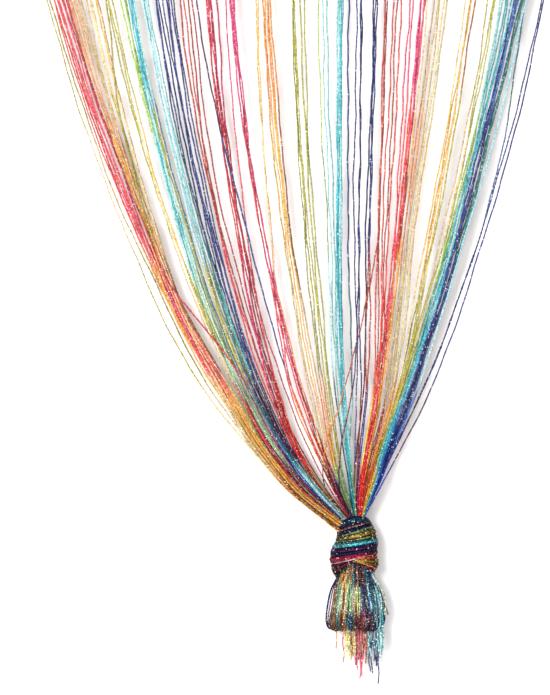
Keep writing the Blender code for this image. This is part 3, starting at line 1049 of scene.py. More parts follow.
    def clumped(self, curves: Rows, drops: Rows, random: np.random.Generator) -> Rows:
        """Draw neighbours of one hue together into clumps of a few strings.

        A string moves towards its clump's middle by a share that changes with its drop, as a
        half and half a sine, and every other string stands a little behind. Where the clump's
        strings lie too far apart they are left alone, and low down, where all lie close
        together, each keeps more of its own line.

        Args:
            curves: string, point, coordinate.
            drops: how far each point lies below the top edge.
            random: where the clumps come from.

        Returns:
            The clumped lines.
        """
        start = 0
        hues = [own[0] for own in self.hues()]
        held = ramp(drops, drops[0], self.clump_root)
        held = held * np.clip((self.clump_end - drops) / self.clump_fade, self.clump_least, 1.0)
        while start < len(curves):
            size = int(random.integers(1, self.clump_most + 1))
            alike = [own is hues[start] for own in hues[start:start + size]]
            size = len(alike) if all(alike) else alike.index(False)
            clump = slice(start, start + size)
            turn = FULL_TURN * drops / random.uniform(*self.clump_waves) + random.uniform(*PHASES)
            middle = curves[clump].mean(axis=0)
            apart = np.abs(curves[clump] - middle)[:, :, 0].max(axis=0)
            near = np.clip((self.clump_reach - apart) / (0.5 * self.clump_reach), 0.0, 1.0)
            pull = held * near * self.clump_pull * (0.5 + 0.5 * np.sin(turn))
            curves[clump] += (middle - curves[clump]) * pull[:, None]
            curves[clump, :, 1] += ((np.arange(size) % 2) * self.clump_depth)[:, None] * pull
            start += size
        return curves

    def build(self) -> list[bpy.types.Object]:
        """Build and dress the strings as bundles of neighbours, one piece for each.

        Returns:
            The pieces.
        """
        curves = self.paths()
        dyes_and_painted_light = self.dyes_and_painted_light(-curves[:, :, 2].mean(axis=0) / MM)
        neck = ramp(np.linspace(0.0, 1.0, self.samples), self.neck_start, 1.0 - self.neck_start)
        shares = np.ones(curves.shape[:2])
        for width in self.widths:
            shares[width.strings] = width.free + (width.neck - width.free) * neck
        pieces = []
        for number, own in enumerate(np.array_split(np.arange(len(curves)), self.bundles), start=1):
            name, seed = f"strings_{number}", float(own[0])
            pieces.append(self.piece(name, self.thread, curves[own], dyes_and_painted_light[own], seed, shares=shares[own]))
        return pieces


@dataclass
class HeadingTape:
    """The woven band that holds the strings' roots."""

    dyehouse: Dyehouse
    hues: list[tuple[Hue, ...]]
    height: float
    node: str = "heading_strings"
    slot: str = "rainbow_string"
    thickness: float = 2.6 * MM
    columns: int = 528
    rows: int = 24
    swells: int = 3
    swell_height: float = 0.35 * MM

    def build(self, strings: Sequence[bpy.types.Object]) -> bpy.types.Object:
        """The front is a grid over the band's width and height, whose depth swells in a few rows
        along the band, as the square of a sine; the back mirrors it, and a rim joins the two.

        Args:
            strings: the pieces that hang from the band; not used.

        Returns:
            The band.
        """
        low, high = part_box(self.node)
        x = np.linspace(low.x, high.x, self.columns + 1)
        z = np.linspace(0.0, -self.height, self.rows + 1)
        across, down = np.meshgrid(x, z)
        swell = self.swell_height * np.sin(math.pi * self.swells * down / self.height) ** 2
        depth = 0.5 * self.thickness - self.swell_height + swell
        grids = [np.stack([across, side * depth, down], axis=-1) for side in (-1.0, 1.0)]
        index = np.arange(across.size).reshape(across.shape)
        front = np.stack([index[:-1, :-1], index[1:, :-1], index[1:, 1:], index[:-1, 1:]], axis=-1)
        front = front.reshape(-1, 4)
        rim = np.concatenate([index[0, :-1], index[:-1, -1], index[-1, :0:-1], index[:0:-1, 0]])
        after = np.roll(rim, -1)
        edge = np.stack([rim, after, after + across.size, rim + across.size], axis=-1)
        faces = np.concatenate([front, front[:, ::-1] + across.size, edge])
        mesh = bpy.data.meshes.new("heading_tape")
        mesh.from_pydata(np.concatenate(grids).reshape(-1, 3), [], faces.tolist())
        warp = palette(self.hues)[:, 0]
        width = high.x - low.x
        string = np.clip((across - low.x) / width * len(warp), 0, len(warp) - 1).astype(int)
        dyed(mesh, "thread_colour", np.concatenate([warp[string].reshape(-1, 3)] * 2))
        mesh.polygons.foreach_set("use_smooth", np.ones(len(mesh.polygons), bool))
        mesh.update()
        material = self.dyehouse.material(TapeFinish())
        item = finished(placed("heading_tape", mesh), material, self.node)
        return item


class Span(Enum):
    """Which part of the knot a band goes round, in turns from the back: its start and its end."""

    WHOLE = (0.0, 1.0)
    LEFT = (0.0, 0.5)
    RIGHT = (0.5, 1.0)


@dataclass(frozen=True)
class Level:
    """A length down the knot that changes with the way round it, in mm.

    It is given at the knot's left flank, its front and its right flank.
    """

    left: float
    front: float
    right: float

    def around(self, angle: Rows, steepness: float) -> Rows:
        """Read the length at angles round the knot.

        It is the front's, plus half the difference of the flanks times the cosine of the angle,
        plus the flanks' mean less the front's times a power of the cosine's size.

        Args:
            angle: ways round from the right, in radians.
            steepness: the power. The higher, the nearer to the flanks the line turns away.

        Returns:
            The length at each angle.
        """
        cosine = np.cos(angle)
        tilt = 0.5 * (self.right - self.left)
        arch = 0.5 * (self.left + self.right) - self.front
        return self.front + tilt * cosine + arch * np.abs(cosine) ** steepness


@dataclass(frozen=True)
class Band:
    """Strings that lie side by side and go round the knot together.

    top is how far below the curtain's top edge the band's upper edge lies, and tall how far down
    the band reaches from there. bulge is how far its middle strings stand out, in mm. glow is
    how bright its dye is, and crease_shade how much painted shade darkens its edges, where bands
    meet. left_shade and right_shade are how much painted shade darkens it at the flanks. The
    higher its steepness, the nearer to the flanks it turns down.
    """

    hues: tuple[Hue, ...]
    top: Level
    tall: Level
    bulge: float
    glow: float
    left_shade: float = 0.3
    right_shade: float = 0.3
    span: Span = Span.WHOLE
    steepness: float = 2.0
    crease_shade: float = 0.7


@dataclass(frozen=True)
class Flanks:
    """How far right of the curtain's middle the knot's two flanks lie at a drop, all in mm."""

    drop: float
    left: float
    right: float


@dataclass
class GatherKnot(StringWork):
    """The knot: a core, painted dark as shade, with bands of strings wound round it.

    Its lengths are in mm but for the thread, and back is the way round to its back, in turns.
    A string wanders up and down along its band, and starts and ends by a dive into the core. It
    lies in its neighbours by sink, and unevenness says how much further in or out it may lie.
    """

    node: str = "gather_knot"
    slot: str = "wound_string"
    finish: FoilThreadFinish = FoilThreadFinish(
        "foil_thread_wound", contrast=0.9, gloss=0.04, painted_glint_share=0.035, painted_glint_length=1.0 * MM,
        painted_glint_rows=3.0, speck_depth=0.85, hush=0.2, dimming=0.0
    )
    thread: Thread = field(
        default_factory=lambda: Thread(half_width=0.95 * MM, flatness=0.9, twist_pitch=11.0 * MM)
    )
    samples: int = 120
    back: float = 0.25
    band_seed: int = 23
    first_string_seed: float = 300.0
    depth_share: float = 0.82
    core_top: Level = Level(1352.0, 1341.0, 1342.0)
    core_bottom: Level = Level(1409.0, 1389.0, 1403.0)
    core_top_steepness: float = 2.0
    core_bottom_steepness: float = 3.0
    core_columns: int = 72
    core_rows: int = 48
    core_inset: float = 2.6
    core_painted_shade: float = 0.4
    core_metres_down: float = 20.0
    wander: tuple[float, float] = (0.2, 0.7)
    wander_waves: tuple[float, float] = (1.0, 3.0)
    swell: float = 1.35
    sink: float = 1.6
    unevenness: tuple[float, float] = (-0.5, 0.35)
    dive: float = 3.0
    dive_share: float = 0.06
    tones: tuple[float, float] = (0.35, 1.3)
    paleness: float = 0.07
    shade_start: float = 0.2
    shade_length: float = 0.5
    flanks: tuple[Flanks, ...] = (
        Flanks(1332.0, 85.0, 103.0),
        Flanks(1338.0, 80.5, 107.5),
        Flanks(1344.0, 77.2, 112.0),
        Flanks(1351.0, 75.0, 116.2),
        Flanks(1358.0, 75.6, 119.6),
        Flanks(1365.0, 75.4, 121.2),
        Flanks(1371.0, 73.2, 121.8),
        Flanks(1378.0, 69.6, 121.6),
        Flanks(1384.0, 67.8, 121.4),
        Flanks(1390.0, 67.2, 122.6),
        Flanks(1396.0, 67.2, 122.8),
        Flanks(1402.0, 68.2, 121.5),
        Flanks(1408.0, 70.5, 118.5),
        Flanks(1416.0, 75.5, 113.0),
    )

    def bands(self) -> list[Band]:
        """List the bands.

        Returns:
            The bands from the top down, each laid over the one before.
        """
        plum, violet, navy, blue, teal, aqua, cyan = (
            Hue.PLUM, Hue.VIOLET, Hue.NAVY, Hue.BLUE, Hue.TEAL, Hue.AQUA, Hue.CYAN
        )
        sage, lime, olive, gold, orange, brown = (
            Hue.SAGE, Hue.LIME, Hue.OLIVE, Hue.GOLD, Hue.ORANGE, Hue.BROWN
        )
        maroon, red, crimson, magenta, pink = (
            Hue.MAROON, Hue.RED, Hue.CRIMSON, Hue.MAGENTA, Hue.PINK
        )
        return [
            Band(
                (navy, blue, teal, blue, plum, navy),
                Level(1347.5, 1338.5, 1341.5), Level(9.0, 9.5, 7.0), bulge=1.7, glow=0.95
            ),
            Band(
                (maroon, brown, pink, plum, navy, plum, navy, plum),
                Level(1354.5, 1347.0, 1345.5), Level(11.0, 10.0, 5.0), bulge=1.9, glow=0.7
            ),
            Band(
                (teal, sage, lime, teal),
                Level(1363.0, 1355.5, 1348.5), Level(2.0, 4.0, 7.0), bulge=1.8, glow=1.1, left_shade=0.72
            ),
            Band(
                (brown, gold, olive, gold, maroon, brown),
                Level(1366.0, 1359.0, 1354.0), Level(2.5, 6.5, 6.5), bulge=2.0, glow=1.3, left_shade=0.72
            ),
            Band(
                (sage, lime, teal, sage),
                Level(1368.0, 1364.5, 1360.0), Level(4.0, 4.5, 4.5), bulge=1.6, glow=1.1, left_shade=0.6
            ),
            Band(
                (teal, aqua, cyan, aqua, blue, navy),
                Level(1370.5, 1367.5, 1364.5), Level(9.5, 8.0, 6.5), bulge=2.4, glow=1.35,
                left_shade=0.5, right_shade=0.45
            ),
            Band(
                (navy, plum, crimson, navy, plum),
                Level(1378.0, 1374.5, 1369.5), Level(7.0, 6.0, 7.0), bulge=1.9, glow=0.8
            ),
            Band(
                (navy, violet, violet, navy, plum),
                Level(1383.0, 1379.5, 1375.0), Level(6.0, 5.0, 6.5), bulge=1.5, glow=0.7
            ),
            Band(
                (crimson, magenta, crimson, crimson, maroon),
                Level(1387.0, 1383.0, 1379.0), Level(9.0, 6.5, 7.0), bulge=2.1, glow=1.2,
                left_shade=0.4, right_shade=0.75
            ),
            Band((pink,), Level(1395.0, 1388.4, 1384.0), Level(1.2, 1.0, 1.0), bulge=1.5, glow=1.2),
            Band(
                (plum, maroon, crimson, plum, maroon, plum, crimson, plum, teal, teal),
                Level(1396.0, 1389.0, 1388.0), Level(19.0, 3.0, 4.0), bulge=1.4, glow=0.6,
                span=Span.LEFT, steepness=1.7, crease_shade=0.2
            ),
            Band(
                (red, orange, red, brown, gold, olive, plum, gold, maroon, orange, crimson, maroon),
                Level(1386.0, 1388.6, 1384.5), Level(6.0, 3.0, 22.0), bulge=1.7, glow=1.6,
                span=Span.RIGHT, steepness=1.3, crease_shade=0.1
            ),
        ]

    def surface(self, angle: Rows, drop: Rows, lift: Any) -> tuple[Rows, Rows]:
        """Work out points on the knot's outer form.

        Each level is an ellipse between the left and the right flank there, depth_share as deep
        as it is wide.

        Args:
            angle: way round from the right, in radians; the front is at three quarters.
            drop: how far each point lies below the curtain's top edge, in mm.
            lift: how far outside the form, in mm.

        Returns:
            The points in metres, and the outward directions.
        """
        drops, *sides = np.array([astuple(flanks) for flanks in self.flanks]).T
        left, right = smooth_through(drops, sides, drop)
        out = 0.5 * (right - left) + lift
        x = 0.5 * (left + right) + out * np.cos(angle)
        y = self.depth_share * out * np.sin(angle)
        away = np.stack([self.depth_share * np.cos(angle), np.sin(angle), 0.0 * angle], axis=-1)
        return np.stack([x, y, -drop], axis=-1) * MM, unit(away)

    def core(self) -> bpy.types.Object:
        """Build the core, a little inside the bands, its dark colour painted shade for what shows between
        them.

        Its side is the outer form on a grid of angle and share of the way down, between a top
        and a bottom level. Each end is closed by strips across, from one half of its ring to
        the other.

        Returns:
            The core.
        """
        columns, rows = self.core_columns, self.core_rows
        angle, share = np.meshgrid(
            np.linspace(0.0, FULL_TURN, columns, endpoint=False), np.linspace(0.0, 1.0, rows)
        )
        top = self.core_top.around(angle, self.core_top_steepness)
        bottom = self.core_bottom.around(angle, self.core_bottom_steepness)
        points, _ = self.surface(angle, top + (bottom - top) * share, -self.core_inset)
        index = np.arange(columns * rows).reshape(rows, columns)
        after = np.roll(index, -1, axis=1)
        sides = np.stack([index[:-1], index[1:], after[1:], after[:-1]], axis=-1).reshape(-1, 4)
        half = columns // 2
        ends = []
        for ring, way in ((index[0], 1), (index[-1], -1)):
            near, far = ring[:half + 1], np.concatenate([ring[:1], ring[half:][::-1]])
            strip = np.stack([near[:-1], near[1:], far[1:], far[:-1]], axis=-1)
            ends.append(strip[:, ::way])
        faces = [list(dict.fromkeys(face)) for face in np.concatenate([sides, *ends]).tolist()]
        mesh = bpy.data.meshes.new("knot_core")
        mesh.from_pydata(points.reshape(-1, 3), [], faces)
        corner = np.empty(len(mesh.loops), np.int32)
        mesh.loops.foreach_get("vertex_index", corner)
        uv = np.stack([angle, share * self.core_metres_down], axis=-1).reshape(-1, 2)[corner]
        mesh.uv_layers.new(name="thread").data.foreach_set("uv", uv.ravel())
        mesh.polygons.foreach_set("use_smooth", np.ones(len(mesh.polygons), bool))
        # Painted shade: the core is a dark plum, for the shadowed inside that shows between the bands.
        dyed(mesh, "dye_and_painted_light", np.tile(Hue.PLUM.linear, (columns * rows, 1)) * self.core_painted_shade)
        mesh.update()
        return placed("knot_core", mesh)

    def paths(self, band: Band, angle: Rows, random: np.random.Generator) -> tuple[Rows, Rows]:
        """Wind a band's strings round the knot.

        A string starts inside the core, goes round at its share of its band's height, and ends
        inside it. It stands out by swell times the band's bulge times the root of one less the
        square of its way from the band's middle, less sink. Its drop wanders by a small random
        sine.

        Args:
            band: the band.
            angle: the ways round at which the strings have points.
            random: where their unevenness comes from.

        Returns:
            String, point, coordinate, and the outward directions.
        """
        count = len(band.hues)
        across = ((np.arange(count) + 0.5) / count)[:, None]
        top, tall = (level.around(angle, band.steepness) for level in (band.top, band.tall))
        waves, phase = random.uniform(*self.wander_waves, (count, 1)), random.uniform(*PHASES, (count, 1))
        wander = random.uniform(*self.wander, (count, 1)) * np.sin(waves * angle + phase)
        swell = self.swell * band.bulge * np.sqrt(1.0 - (2.0 * across - 1.0) ** 2)
        lift = swell - self.sink + random.uniform(*self.unevenness, (count, 1))
        along = np.linspace(0.0, 1.0, self.samples)
        inside = 1.0 - ramp(np.minimum(along, 1.0 - along), 0.0, self.dive_share)
        drops = top + across * tall + wander
        return self.surface(np.broadcast_to(angle, drops.shape), drops, lift - self.dive * inside)

    def dyes_and_painted_light(self, band: Band, angle: Rows, random: np.random.Generator) -> Rows:
        """Work out the colours of a band's strings.

        Each string is lighter or darker of its own. Painted shade darkens it towards the band's
        edges, by the square of the way from its middle, where bands meet, and evenly towards the
        knot's flanks.

        Args:
            band: the band.
            angle: the ways round at which the strings have points.
            random: where their unevenness comes from.

        Returns:
            String, point, linear colour.
        """
        count = len(band.hues)
        middle = (2.0 * (np.arange(count) + 0.5) / count - 1.0)[:, None]
        # Painted shade: darker towards the band's edges and towards the knot's flanks.
        tone = random.uniform(*self.tones, (count, 1)) * (1.0 - band.crease_shade * middle**2) * band.glow
        flank = ramp(np.abs(np.cos(angle)), self.shade_start, self.shade_length)
        shade = np.where(np.cos(angle) < 0.0, band.left_shade, band.right_shade)
        own = faded(palette([band.hues])[0], self.paleness, Hue.MIST)
        return own[:, None] * (tone * (1.0 - shade * flank))[..., None]

    def build(self) -> list[bpy.types.Object]:
        """Build and dress the core and one piece for each band.

        Returns:
            The pieces.
        """
        random = np.random.default_rng(self.band_seed)
        pieces = [self.dressed(self.core())]
        seed = self.first_string_seed
        for number, band in enumerate(self.bands(), start=1):
            start, end = (self.back + turns for turns in band.span.value)
            angle = FULL_TURN * np.linspace(start, end, self.samples)
            paths, away = self.paths(band, angle, random)
            dyes_and_painted_light = self.dyes_and_painted_light(band, angle, random)
            pieces.append(self.piece(f"knot_band_{number}", self.thread, paths, dyes_and_painted_light, seed, away))
            seed += len(paths)
        return pieces


@dataclass(frozen=True)
class Stripe:
    """Strings side by side on the bell, from a share of its width on, with three hues downwards."""

    start: float
    upper: Hue
    middle: Hue
    fold: Hue

    @property
    def hues(self) -> tuple[Hue, ...]:
        """The three hues in order."""
        return (self.upper, self.middle, self.fold)


@dataclass(frozen=True)
class Layer:
    """One layer of bell strings, from the angle first to the angle last in degrees from the right.

    stripes are what they show from left to right, inset is how far inside the bell they lie, in
    mm, and start how far along the bell's run they come up to the surface.
    """

    title: str
    stripes: tuple[Stripe, ...]
    strings: int
    first: float
    last: float
    inset: float = 0.0
    start: float = 0.0


@dataclass(frozen=True)
class SlackLoop:
    """A string that stands off the bell by its bulge in mm, at its turn in degrees from the right."""

    hue: Hue
    turn: float
    bulge: float


@dataclass(frozen=True)
class LooseLock:
    """Cut ends that hang out of the fold.

    middle and spread say where along the curtain's width they end, and first_end and last_end
    between which drops, all in mm.
    """

    hue: Hue
    strings: int
    middle: float
    spread: float
    first_end: float
    last_end: float


@dataclass(frozen=True)
class Stray:
    """A thread that stands off to the right of the bell, with its places across in mm."""

    hue: Hue
    places: tuple[float, ...]


@dataclass(frozen=True)
class Girth:
    """The bell at one station of its run from the knot down to the fold and up again inside.

    drop, middle and half_width are in mm. slack is how much of its bulge a slack loop stands off
    there, and glow the painted light and shade on the strings' colours there.
    """

    drop: float
    middle: float
    half_width: float
    slack: float
    glow: float


@dataclass
class FoldedTail(StringWork):
    """The tail: strings that fan out below the knot, fold up at the bottom, and loose cut ends.

    Lengths are in mm but for the threads, and places along a run are shares of it. bell,
    dyes_and_painted_light and loose_ends explain what their values do.
    """

    node: str = "tail"
    slot: str = "tail_string"
    finish: FoilThreadFinish = FoilThreadFinish(
        "foil_thread_folded", contrast=0.8, gloss=0.1, painted_glint_share=0.06, speck_depth=0.75, hush=0.2,
        dimming=0.0
    )
    thread: Thread = field(
        default_factory=lambda: Thread(half_width=0.8 * MM, flatness=0.9, twist_pitch=10.0 * MM)
    )
    loose_thread: Thread = field(
        default_factory=lambda: Thread(half_width=0.95 * MM, twist_pitch=9.0 * MM)
    )
    tail_seed: int = 31
    bell_string_seed: float = 500.0
    slack_string_seed: float = 800.0
    loose_string_seed: float = 900.0
    depth_share: float = 0.7
    bell_samples: int = 72
    bell_tones: tuple[float, float] = (0.4, 1.5)
    bell_shine: float = 1.12
    bell_paleness: float = 0.15
    stray_share: float = 0.15
    scatter: float = 0.012
    sway_size: float = 0.09
    sway_waves: tuple[float, float] = (1.5, 3.5)
    sway_root: float = 0.2
    sway_least: float = 0.2
    insets: tuple[float, float] = (-0.6, 2.6)
    inset_root: float = 0.25
    hidden_inset: float = 6.0
    hidden_fade: float = 0.12
    fold_lows: tuple[float, float] = (-6.0, 1.6)
    fold_start: float = 1404.0
    fold_length: float = 60.0
    first_changes: tuple[float, float] = (0.27, 0.37)
    second_changes: tuple[float, float] = (0.47, 0.56)
    change_length: float = 0.05
    slack_tone: float = 0.8
    slack_least_tone: float = 0.2
    loose_samples: int = 48
    loose_tones: tuple[float, float] = (0.7, 1.2)
    loose_top_tone: float = 0.75
    loose_end_tone: float = 1.1
    loose_shine: float = 1.65
    loose_paleness: float = 0.24
    loose_start: float = 1440.0
    loose_reach: float = 42.0
    loose_middle: float = 95.5
    loose_gathered: float = 0.72
    loose_depths: tuple[float, float] = (-8.0, 6.0)
    kinks: tuple[float, float] = (0.4, 1.3)
    kink_waves: tuple[float, float] = (0.1, 0.22)
    depth_kinks: tuple[float, float] = (0.3, 1.0)
    depth_kink_wave: float = 0.13
    stray_drops: tuple[float, ...] = (1408.0, 1420.0, 1433.0, 1445.0, 1457.0)
    stray_front: float = 6.0
    stray_arch: float = 4.0
    stray_arch_wave: float = 0.9
    # The glow column is painted light and shade along the run: dark under the knot and in the fold, lightest
    # midway down.
    girths: tuple[Girth, ...] = (
        Girth(1385.0, 97.0, 6.0, slack=0.0, glow=0.45),
        Girth(1393.0, 97.0, 13.0, slack=0.0, glow=0.65),
        Girth(1403.0, 96.5, 18.5, slack=0.0, glow=0.8),
        Girth(1414.0, 96.8, 22.0, slack=0.2, glow=0.95),
        Girth(1428.0, 97.0, 25.3, slack=0.8, glow=1.3),
        Girth(1446.0, 97.5, 28.6, slack=1.0, glow=1.5),
        Girth(1462.0, 97.0, 31.0, slack=0.8, glow=1.05),
        Girth(1470.5, 96.0, 31.2, slack=0.4, glow=0.8),
        Girth(1474.5, 95.5, 28.5, slack=0.2, glow=0.65),
        Girth(1470.5, 95.0, 25.0, slack=0.0, glow=0.5),
        Girth(1455.0, 95.5, 22.0, slack=0.0, glow=0.3),
        Girth(1430.0, 95.5, 14.0, slack=0.0, glow=0.25),
    )
    along: Rows = field(init=False)
    drop: Rows = field(init=False)
    middle: Rows = field(init=False)
    half_width: Rows = field(init=False)
    slack: Rows = field(init=False)
    glow: Rows = field(init=False)

    def __post_init__(self) -> None:
        """Read the girths at even places along the bell's run, smoothly, and the glow in straight lines."""
        *sizes, glow = np.array([astuple(girth) for girth in self.girths]).T
        stations = np.linspace(0.0, 1.0, len(self.girths))
        self.along = np.linspace(0.0, 1.0, self.bell_samples)
        self.drop, self.middle, self.half_width, self.slack = smooth_through(stations, sizes, self.along)
        self.glow = np.interp(self.along, stations, glow)

    def layers(self) -> list[Layer]:
        """List the layers.

        Returns:
            The layers, from the outside in.
        """
        plum, violet, navy, blue, teal, aqua, cyan = (
            Hue.PLUM, Hue.VIOLET, Hue.NAVY, Hue.BLUE, Hue.TEAL, Hue.AQUA, Hue.CYAN
        )
        mist, sage, olive, gold, amber, orange = (
            Hue.MIST, Hue.SAGE, Hue.OLIVE, Hue.GOLD, Hue.AMBER, Hue.ORANGE
        )
        brown, maroon, crimson, rose = Hue.BROWN, Hue.MAROON, Hue.CRIMSON, Hue.ROSE
        front = (
            Stripe(0.0, teal, amber, brown),
            Stripe(0.05, orange, sage, brown),
            Stripe(0.11, gold, cyan, teal),
            Stripe(0.16, orange, gold, brown),
            Stripe(0.2, amber, brown, maroon),
            Stripe(0.24, orange, orange, brown),
            Stripe(0.28, gold, sage, brown),
            Stripe(0.32, orange, mist, teal),
            Stripe(0.36, teal, sage, navy),
            Stripe(0.4, teal, mist, teal),
            Stripe(0.44, teal, olive, teal),
            Stripe(0.47, navy, mist, brown),
            Stripe(0.5, maroon, rose, maroon),
            Stripe(0.54, navy, olive, maroon),
            Stripe(0.58, plum, mist, maroon),
            Stripe(0.62, plum, violet, crimson),
            Stripe(0.66, maroon, violet, maroon),
            Stripe(0.7, maroon, plum, plum),
            Stripe(0.74, teal, blue, plum),
            Stripe(0.78, teal, cyan, plum),
            Stripe(0.83, navy, teal, teal),
            Stripe(0.88, navy, blue, navy),
            Stripe(0.92, cyan, cyan, cyan),
            Stripe(0.97, blue, cyan, cyan),
        )
        low = (
            Stripe(0.0, brown, brown, brown),
            Stripe(0.12, teal, teal, teal),
            Stripe(0.18, brown, maroon, brown),
            Stripe(0.28, teal, teal, teal),
            Stripe(0.46, brown, brown, brown),
            Stripe(0.52, maroon, crimson, maroon),
            Stripe(0.72, plum, plum, maroon),
            Stripe(0.84, navy, teal, navy),
        )
        back = (
            Stripe(0.0, orange, brown, brown),
            Stripe(0.1, aqua, aqua, teal),
            Stripe(0.22, teal, sage, olive),
            Stripe(0.38, gold, orange, brown),
            Stripe(0.55, brown, crimson, maroon),
            Stripe(0.7, plum, navy, navy),
            Stripe(0.85, cyan, cyan, teal),
        )
        return [
            Layer("front", front, strings=84, first=184.0, last=356.0),
            Layer("back", back, strings=58, first=2.0, last=178.0),
            Layer("front_lining", front, strings=50, first=190.0, last=350.0, inset=2.2),
            Layer("fold", low, strings=38, first=196.0, last=346.0, inset=-0.9, start=0.44),
            Layer("back_lining", back, strings=24, first=10.0, last=170.0, inset=2.2),
        ]

    def dyes_and_painted_light(self, layer: Layer, random: np.random.Generator) -> Rows:
        """Work out the colours of a layer's strings along their run.

        A string takes the stripe at its share of the bell's width, or now and then any other,
        and changes hue twice on the way down. By the glow along the run all take painted shade,
        darkest under the knot and in the fold, and painted light midway down, and each is lighter or
        darker of its own.

        Args:
            layer: the layer.
            random: where its unevenness comes from.

        Returns:
            String, point, linear colour.
        """
        count = layer.strings
        turn = np.radians(np.linspace(layer.first, layer.last, count))
        share = 0.5 + 0.5 * np.cos(turn) + random.normal(0.0, self.scatter, count)
        starts = np.array([stripe.start for stripe in layer.stripes])
        chosen = np.clip(np.searchsorted(starts, share, side="right") - 1, 0, len(starts) - 1)
        stray = random.uniform(0.0, 1.0, count) < self.stray_share
        chosen = np.where(stray, random.integers(0, len(starts), count), chosen)
        stages = palette([stripe.hues for stripe in layer.stripes])[chosen]
        upper, middle, fold = stages.swapaxes(0, 1)[:, :, None]
        half = 0.5 * self.change_length
        first = ramp(self.along, random.uniform(*self.first_changes, (count, 1)) - half, self.change_length)
        second = ramp(self.along, random.uniform(*self.second_changes, (count, 1)) - half, self.change_length)
        colour = upper + (middle - upper) * first[..., None]
        colour = colour + (fold - middle) * second[..., None]
        own = random.uniform(*self.bell_tones, (count, 1)) * self.bell_shine
        # The glow paints shade under the knot and in the fold, and light midway down.
        return faded(colour, self.bell_paleness, Hue.MIST) * (self.glow * own)[..., None]

    def around(self, out: Rows, turn: Any, drop: Rows) -> Rows:
        """Work out points on ellipses round the bell's middle line, depth_share as deep as wide.

        Args:
            out: half the ellipse's width at each point, in mm.
            turn: the way round, in radians from the right.
            drop: how far each point lies below the curtain's top edge, in mm.

        Returns:
            The points in metres.
        """
        x = self.middle + out * np.cos(turn)
        y = self.depth_share * out * np.sin(turn)
        return np.stack([x, y, -drop], axis=-1) * MM

    def bell(self, layer: Layer, random: np.random.Generator) -> Rows:
        """Work out the paths of a layer's strings.

        A string follows the bell's run at its own angle plus a slow random sine, on an ellipse
        that is smaller by the layer's inset and some of its own. A layer that comes up to the
        surface further down lies deeper before that. Each string's fold is at its own height.

        Args:
            layer: the layer.
            random: where its unevenness comes from.

        Returns:
            String, point, coordinate, in metres.
        """
        count = layer.strings
        turn = np.radians(np.linspace(layer.first, layer.last, count))
        turn = turn + random.normal(0.0, self.scatter, count)
        size = random.normal(0.0, self.sway_size, (count, 1))
        sway = size * np.sin(random.uniform(*self.sway_waves, (count, 1)) * math.pi * self.along)
        turn = turn[:, None] + sway * np.clip(self.along / self.sway_root, self.sway_least, 1.0)
        inset = layer.inset + random.uniform(*self.insets, (count, 1))
        if layer.start > 0.0:
            inset = inset + self.hidden_inset * (1.0 - ramp(self.along, layer.start, self.hidden_fade))
        out = self.half_width - inset * ramp(self.along, 0.0, self.inset_root)
        low = random.uniform(*self.fold_lows, (count, 1)) * ramp(self.drop, self.fold_start, self.fold_length)
        return self.around(out, turn, self.drop + low)

    def slack_loops(self) -> list[SlackLoop]:
        """List the few strings that stand off the bell at its sides.

        Returns:
            The loops, the left side's and then the right's.
        """
        return [
            SlackLoop(Hue.NAVY, 180.0, 6.2),
            SlackLoop(Hue.PLUM, 182.0, 5.2),
            SlackLoop(Hue.NAVY, 186.0, 3.2),
            SlackLoop(Hue.BROWN, 194.0, 0.6),
            SlackLoop(Hue.PLUM, 206.0, 1.0),
            SlackLoop(Hue.NAVY, 0.0, 4.8),
            SlackLoop(Hue.TEAL, 352.0, 3.4),
            SlackLoop(Hue.AQUA, 344.0, 2.8),
            SlackLoop(Hue.CYAN, 336.0, 1.8),
            SlackLoop(Hue.PLUM, 328.0, 1.4),
        ]

    def locks(self) -> list[LooseLock]:
        """List the loose cut ends.

        Returns:
            The locks, from left to right.
        """
        return [
            LooseLock(Hue.ORANGE, 1, 73.0, 0.0, 1498.0, 1498.0),
            LooseLock(Hue.MAGENTA, 1, 82.0, 0.0, 1515.0, 1515.0),
            LooseLock(Hue.ROSE, 1, 84.5, 0.0, 1496.0, 1496.0),
            LooseLock(Hue.GOLD, 10, 91.0, 15.0, 1496.0, 1513.0),
            LooseLock(Hue.SAND, 6, 92.0, 12.0, 1492.0, 1512.0),
            LooseLock(Hue.BROWN, 4, 100.0, 16.0, 1490.0, 1512.0),
            LooseLock(Hue.MAGENTA, 5, 100.0, 7.0, 1508.0, 1528.0),
            LooseLock(Hue.MAGENTA, 1, 102.0, 0.0, 1535.0, 1535.0),
            LooseLock(Hue.CRIMSON, 1, 104.5, 0.0, 1531.0, 1531.0),
            LooseLock(Hue.RED, 5, 106.5, 8.0, 1500.0, 1524.0),
            LooseLock(Hue.ROSE, 3, 104.0, 9.0, 1500.0, 1520.0),
            LooseLock(Hue.CYAN, 2, 112.0, 4.0, 1498.0, 1516.0),
            LooseLock(Hue.NAVY, 2, 115.0, 2.4, 1526.0, 1530.0),
            LooseLock(Hue.AQUA, 3, 115.0, 7.0, 1496.0, 1518.0),
            LooseLock(Hue.NAVY, 1, 124.0, 0.0, 1540.0, 1540.0),
            LooseLock(Hue.NAVY, 3, 120.5, 5.0, 1504.0, 1524.0),
            LooseLock(Hue.AQUA, 6, 124.5, 9.0, 1492.0, 1512.0),
            LooseLock(Hue.CYAN, 4, 127.0, 6.0, 1488.0, 1512.0),
        ]

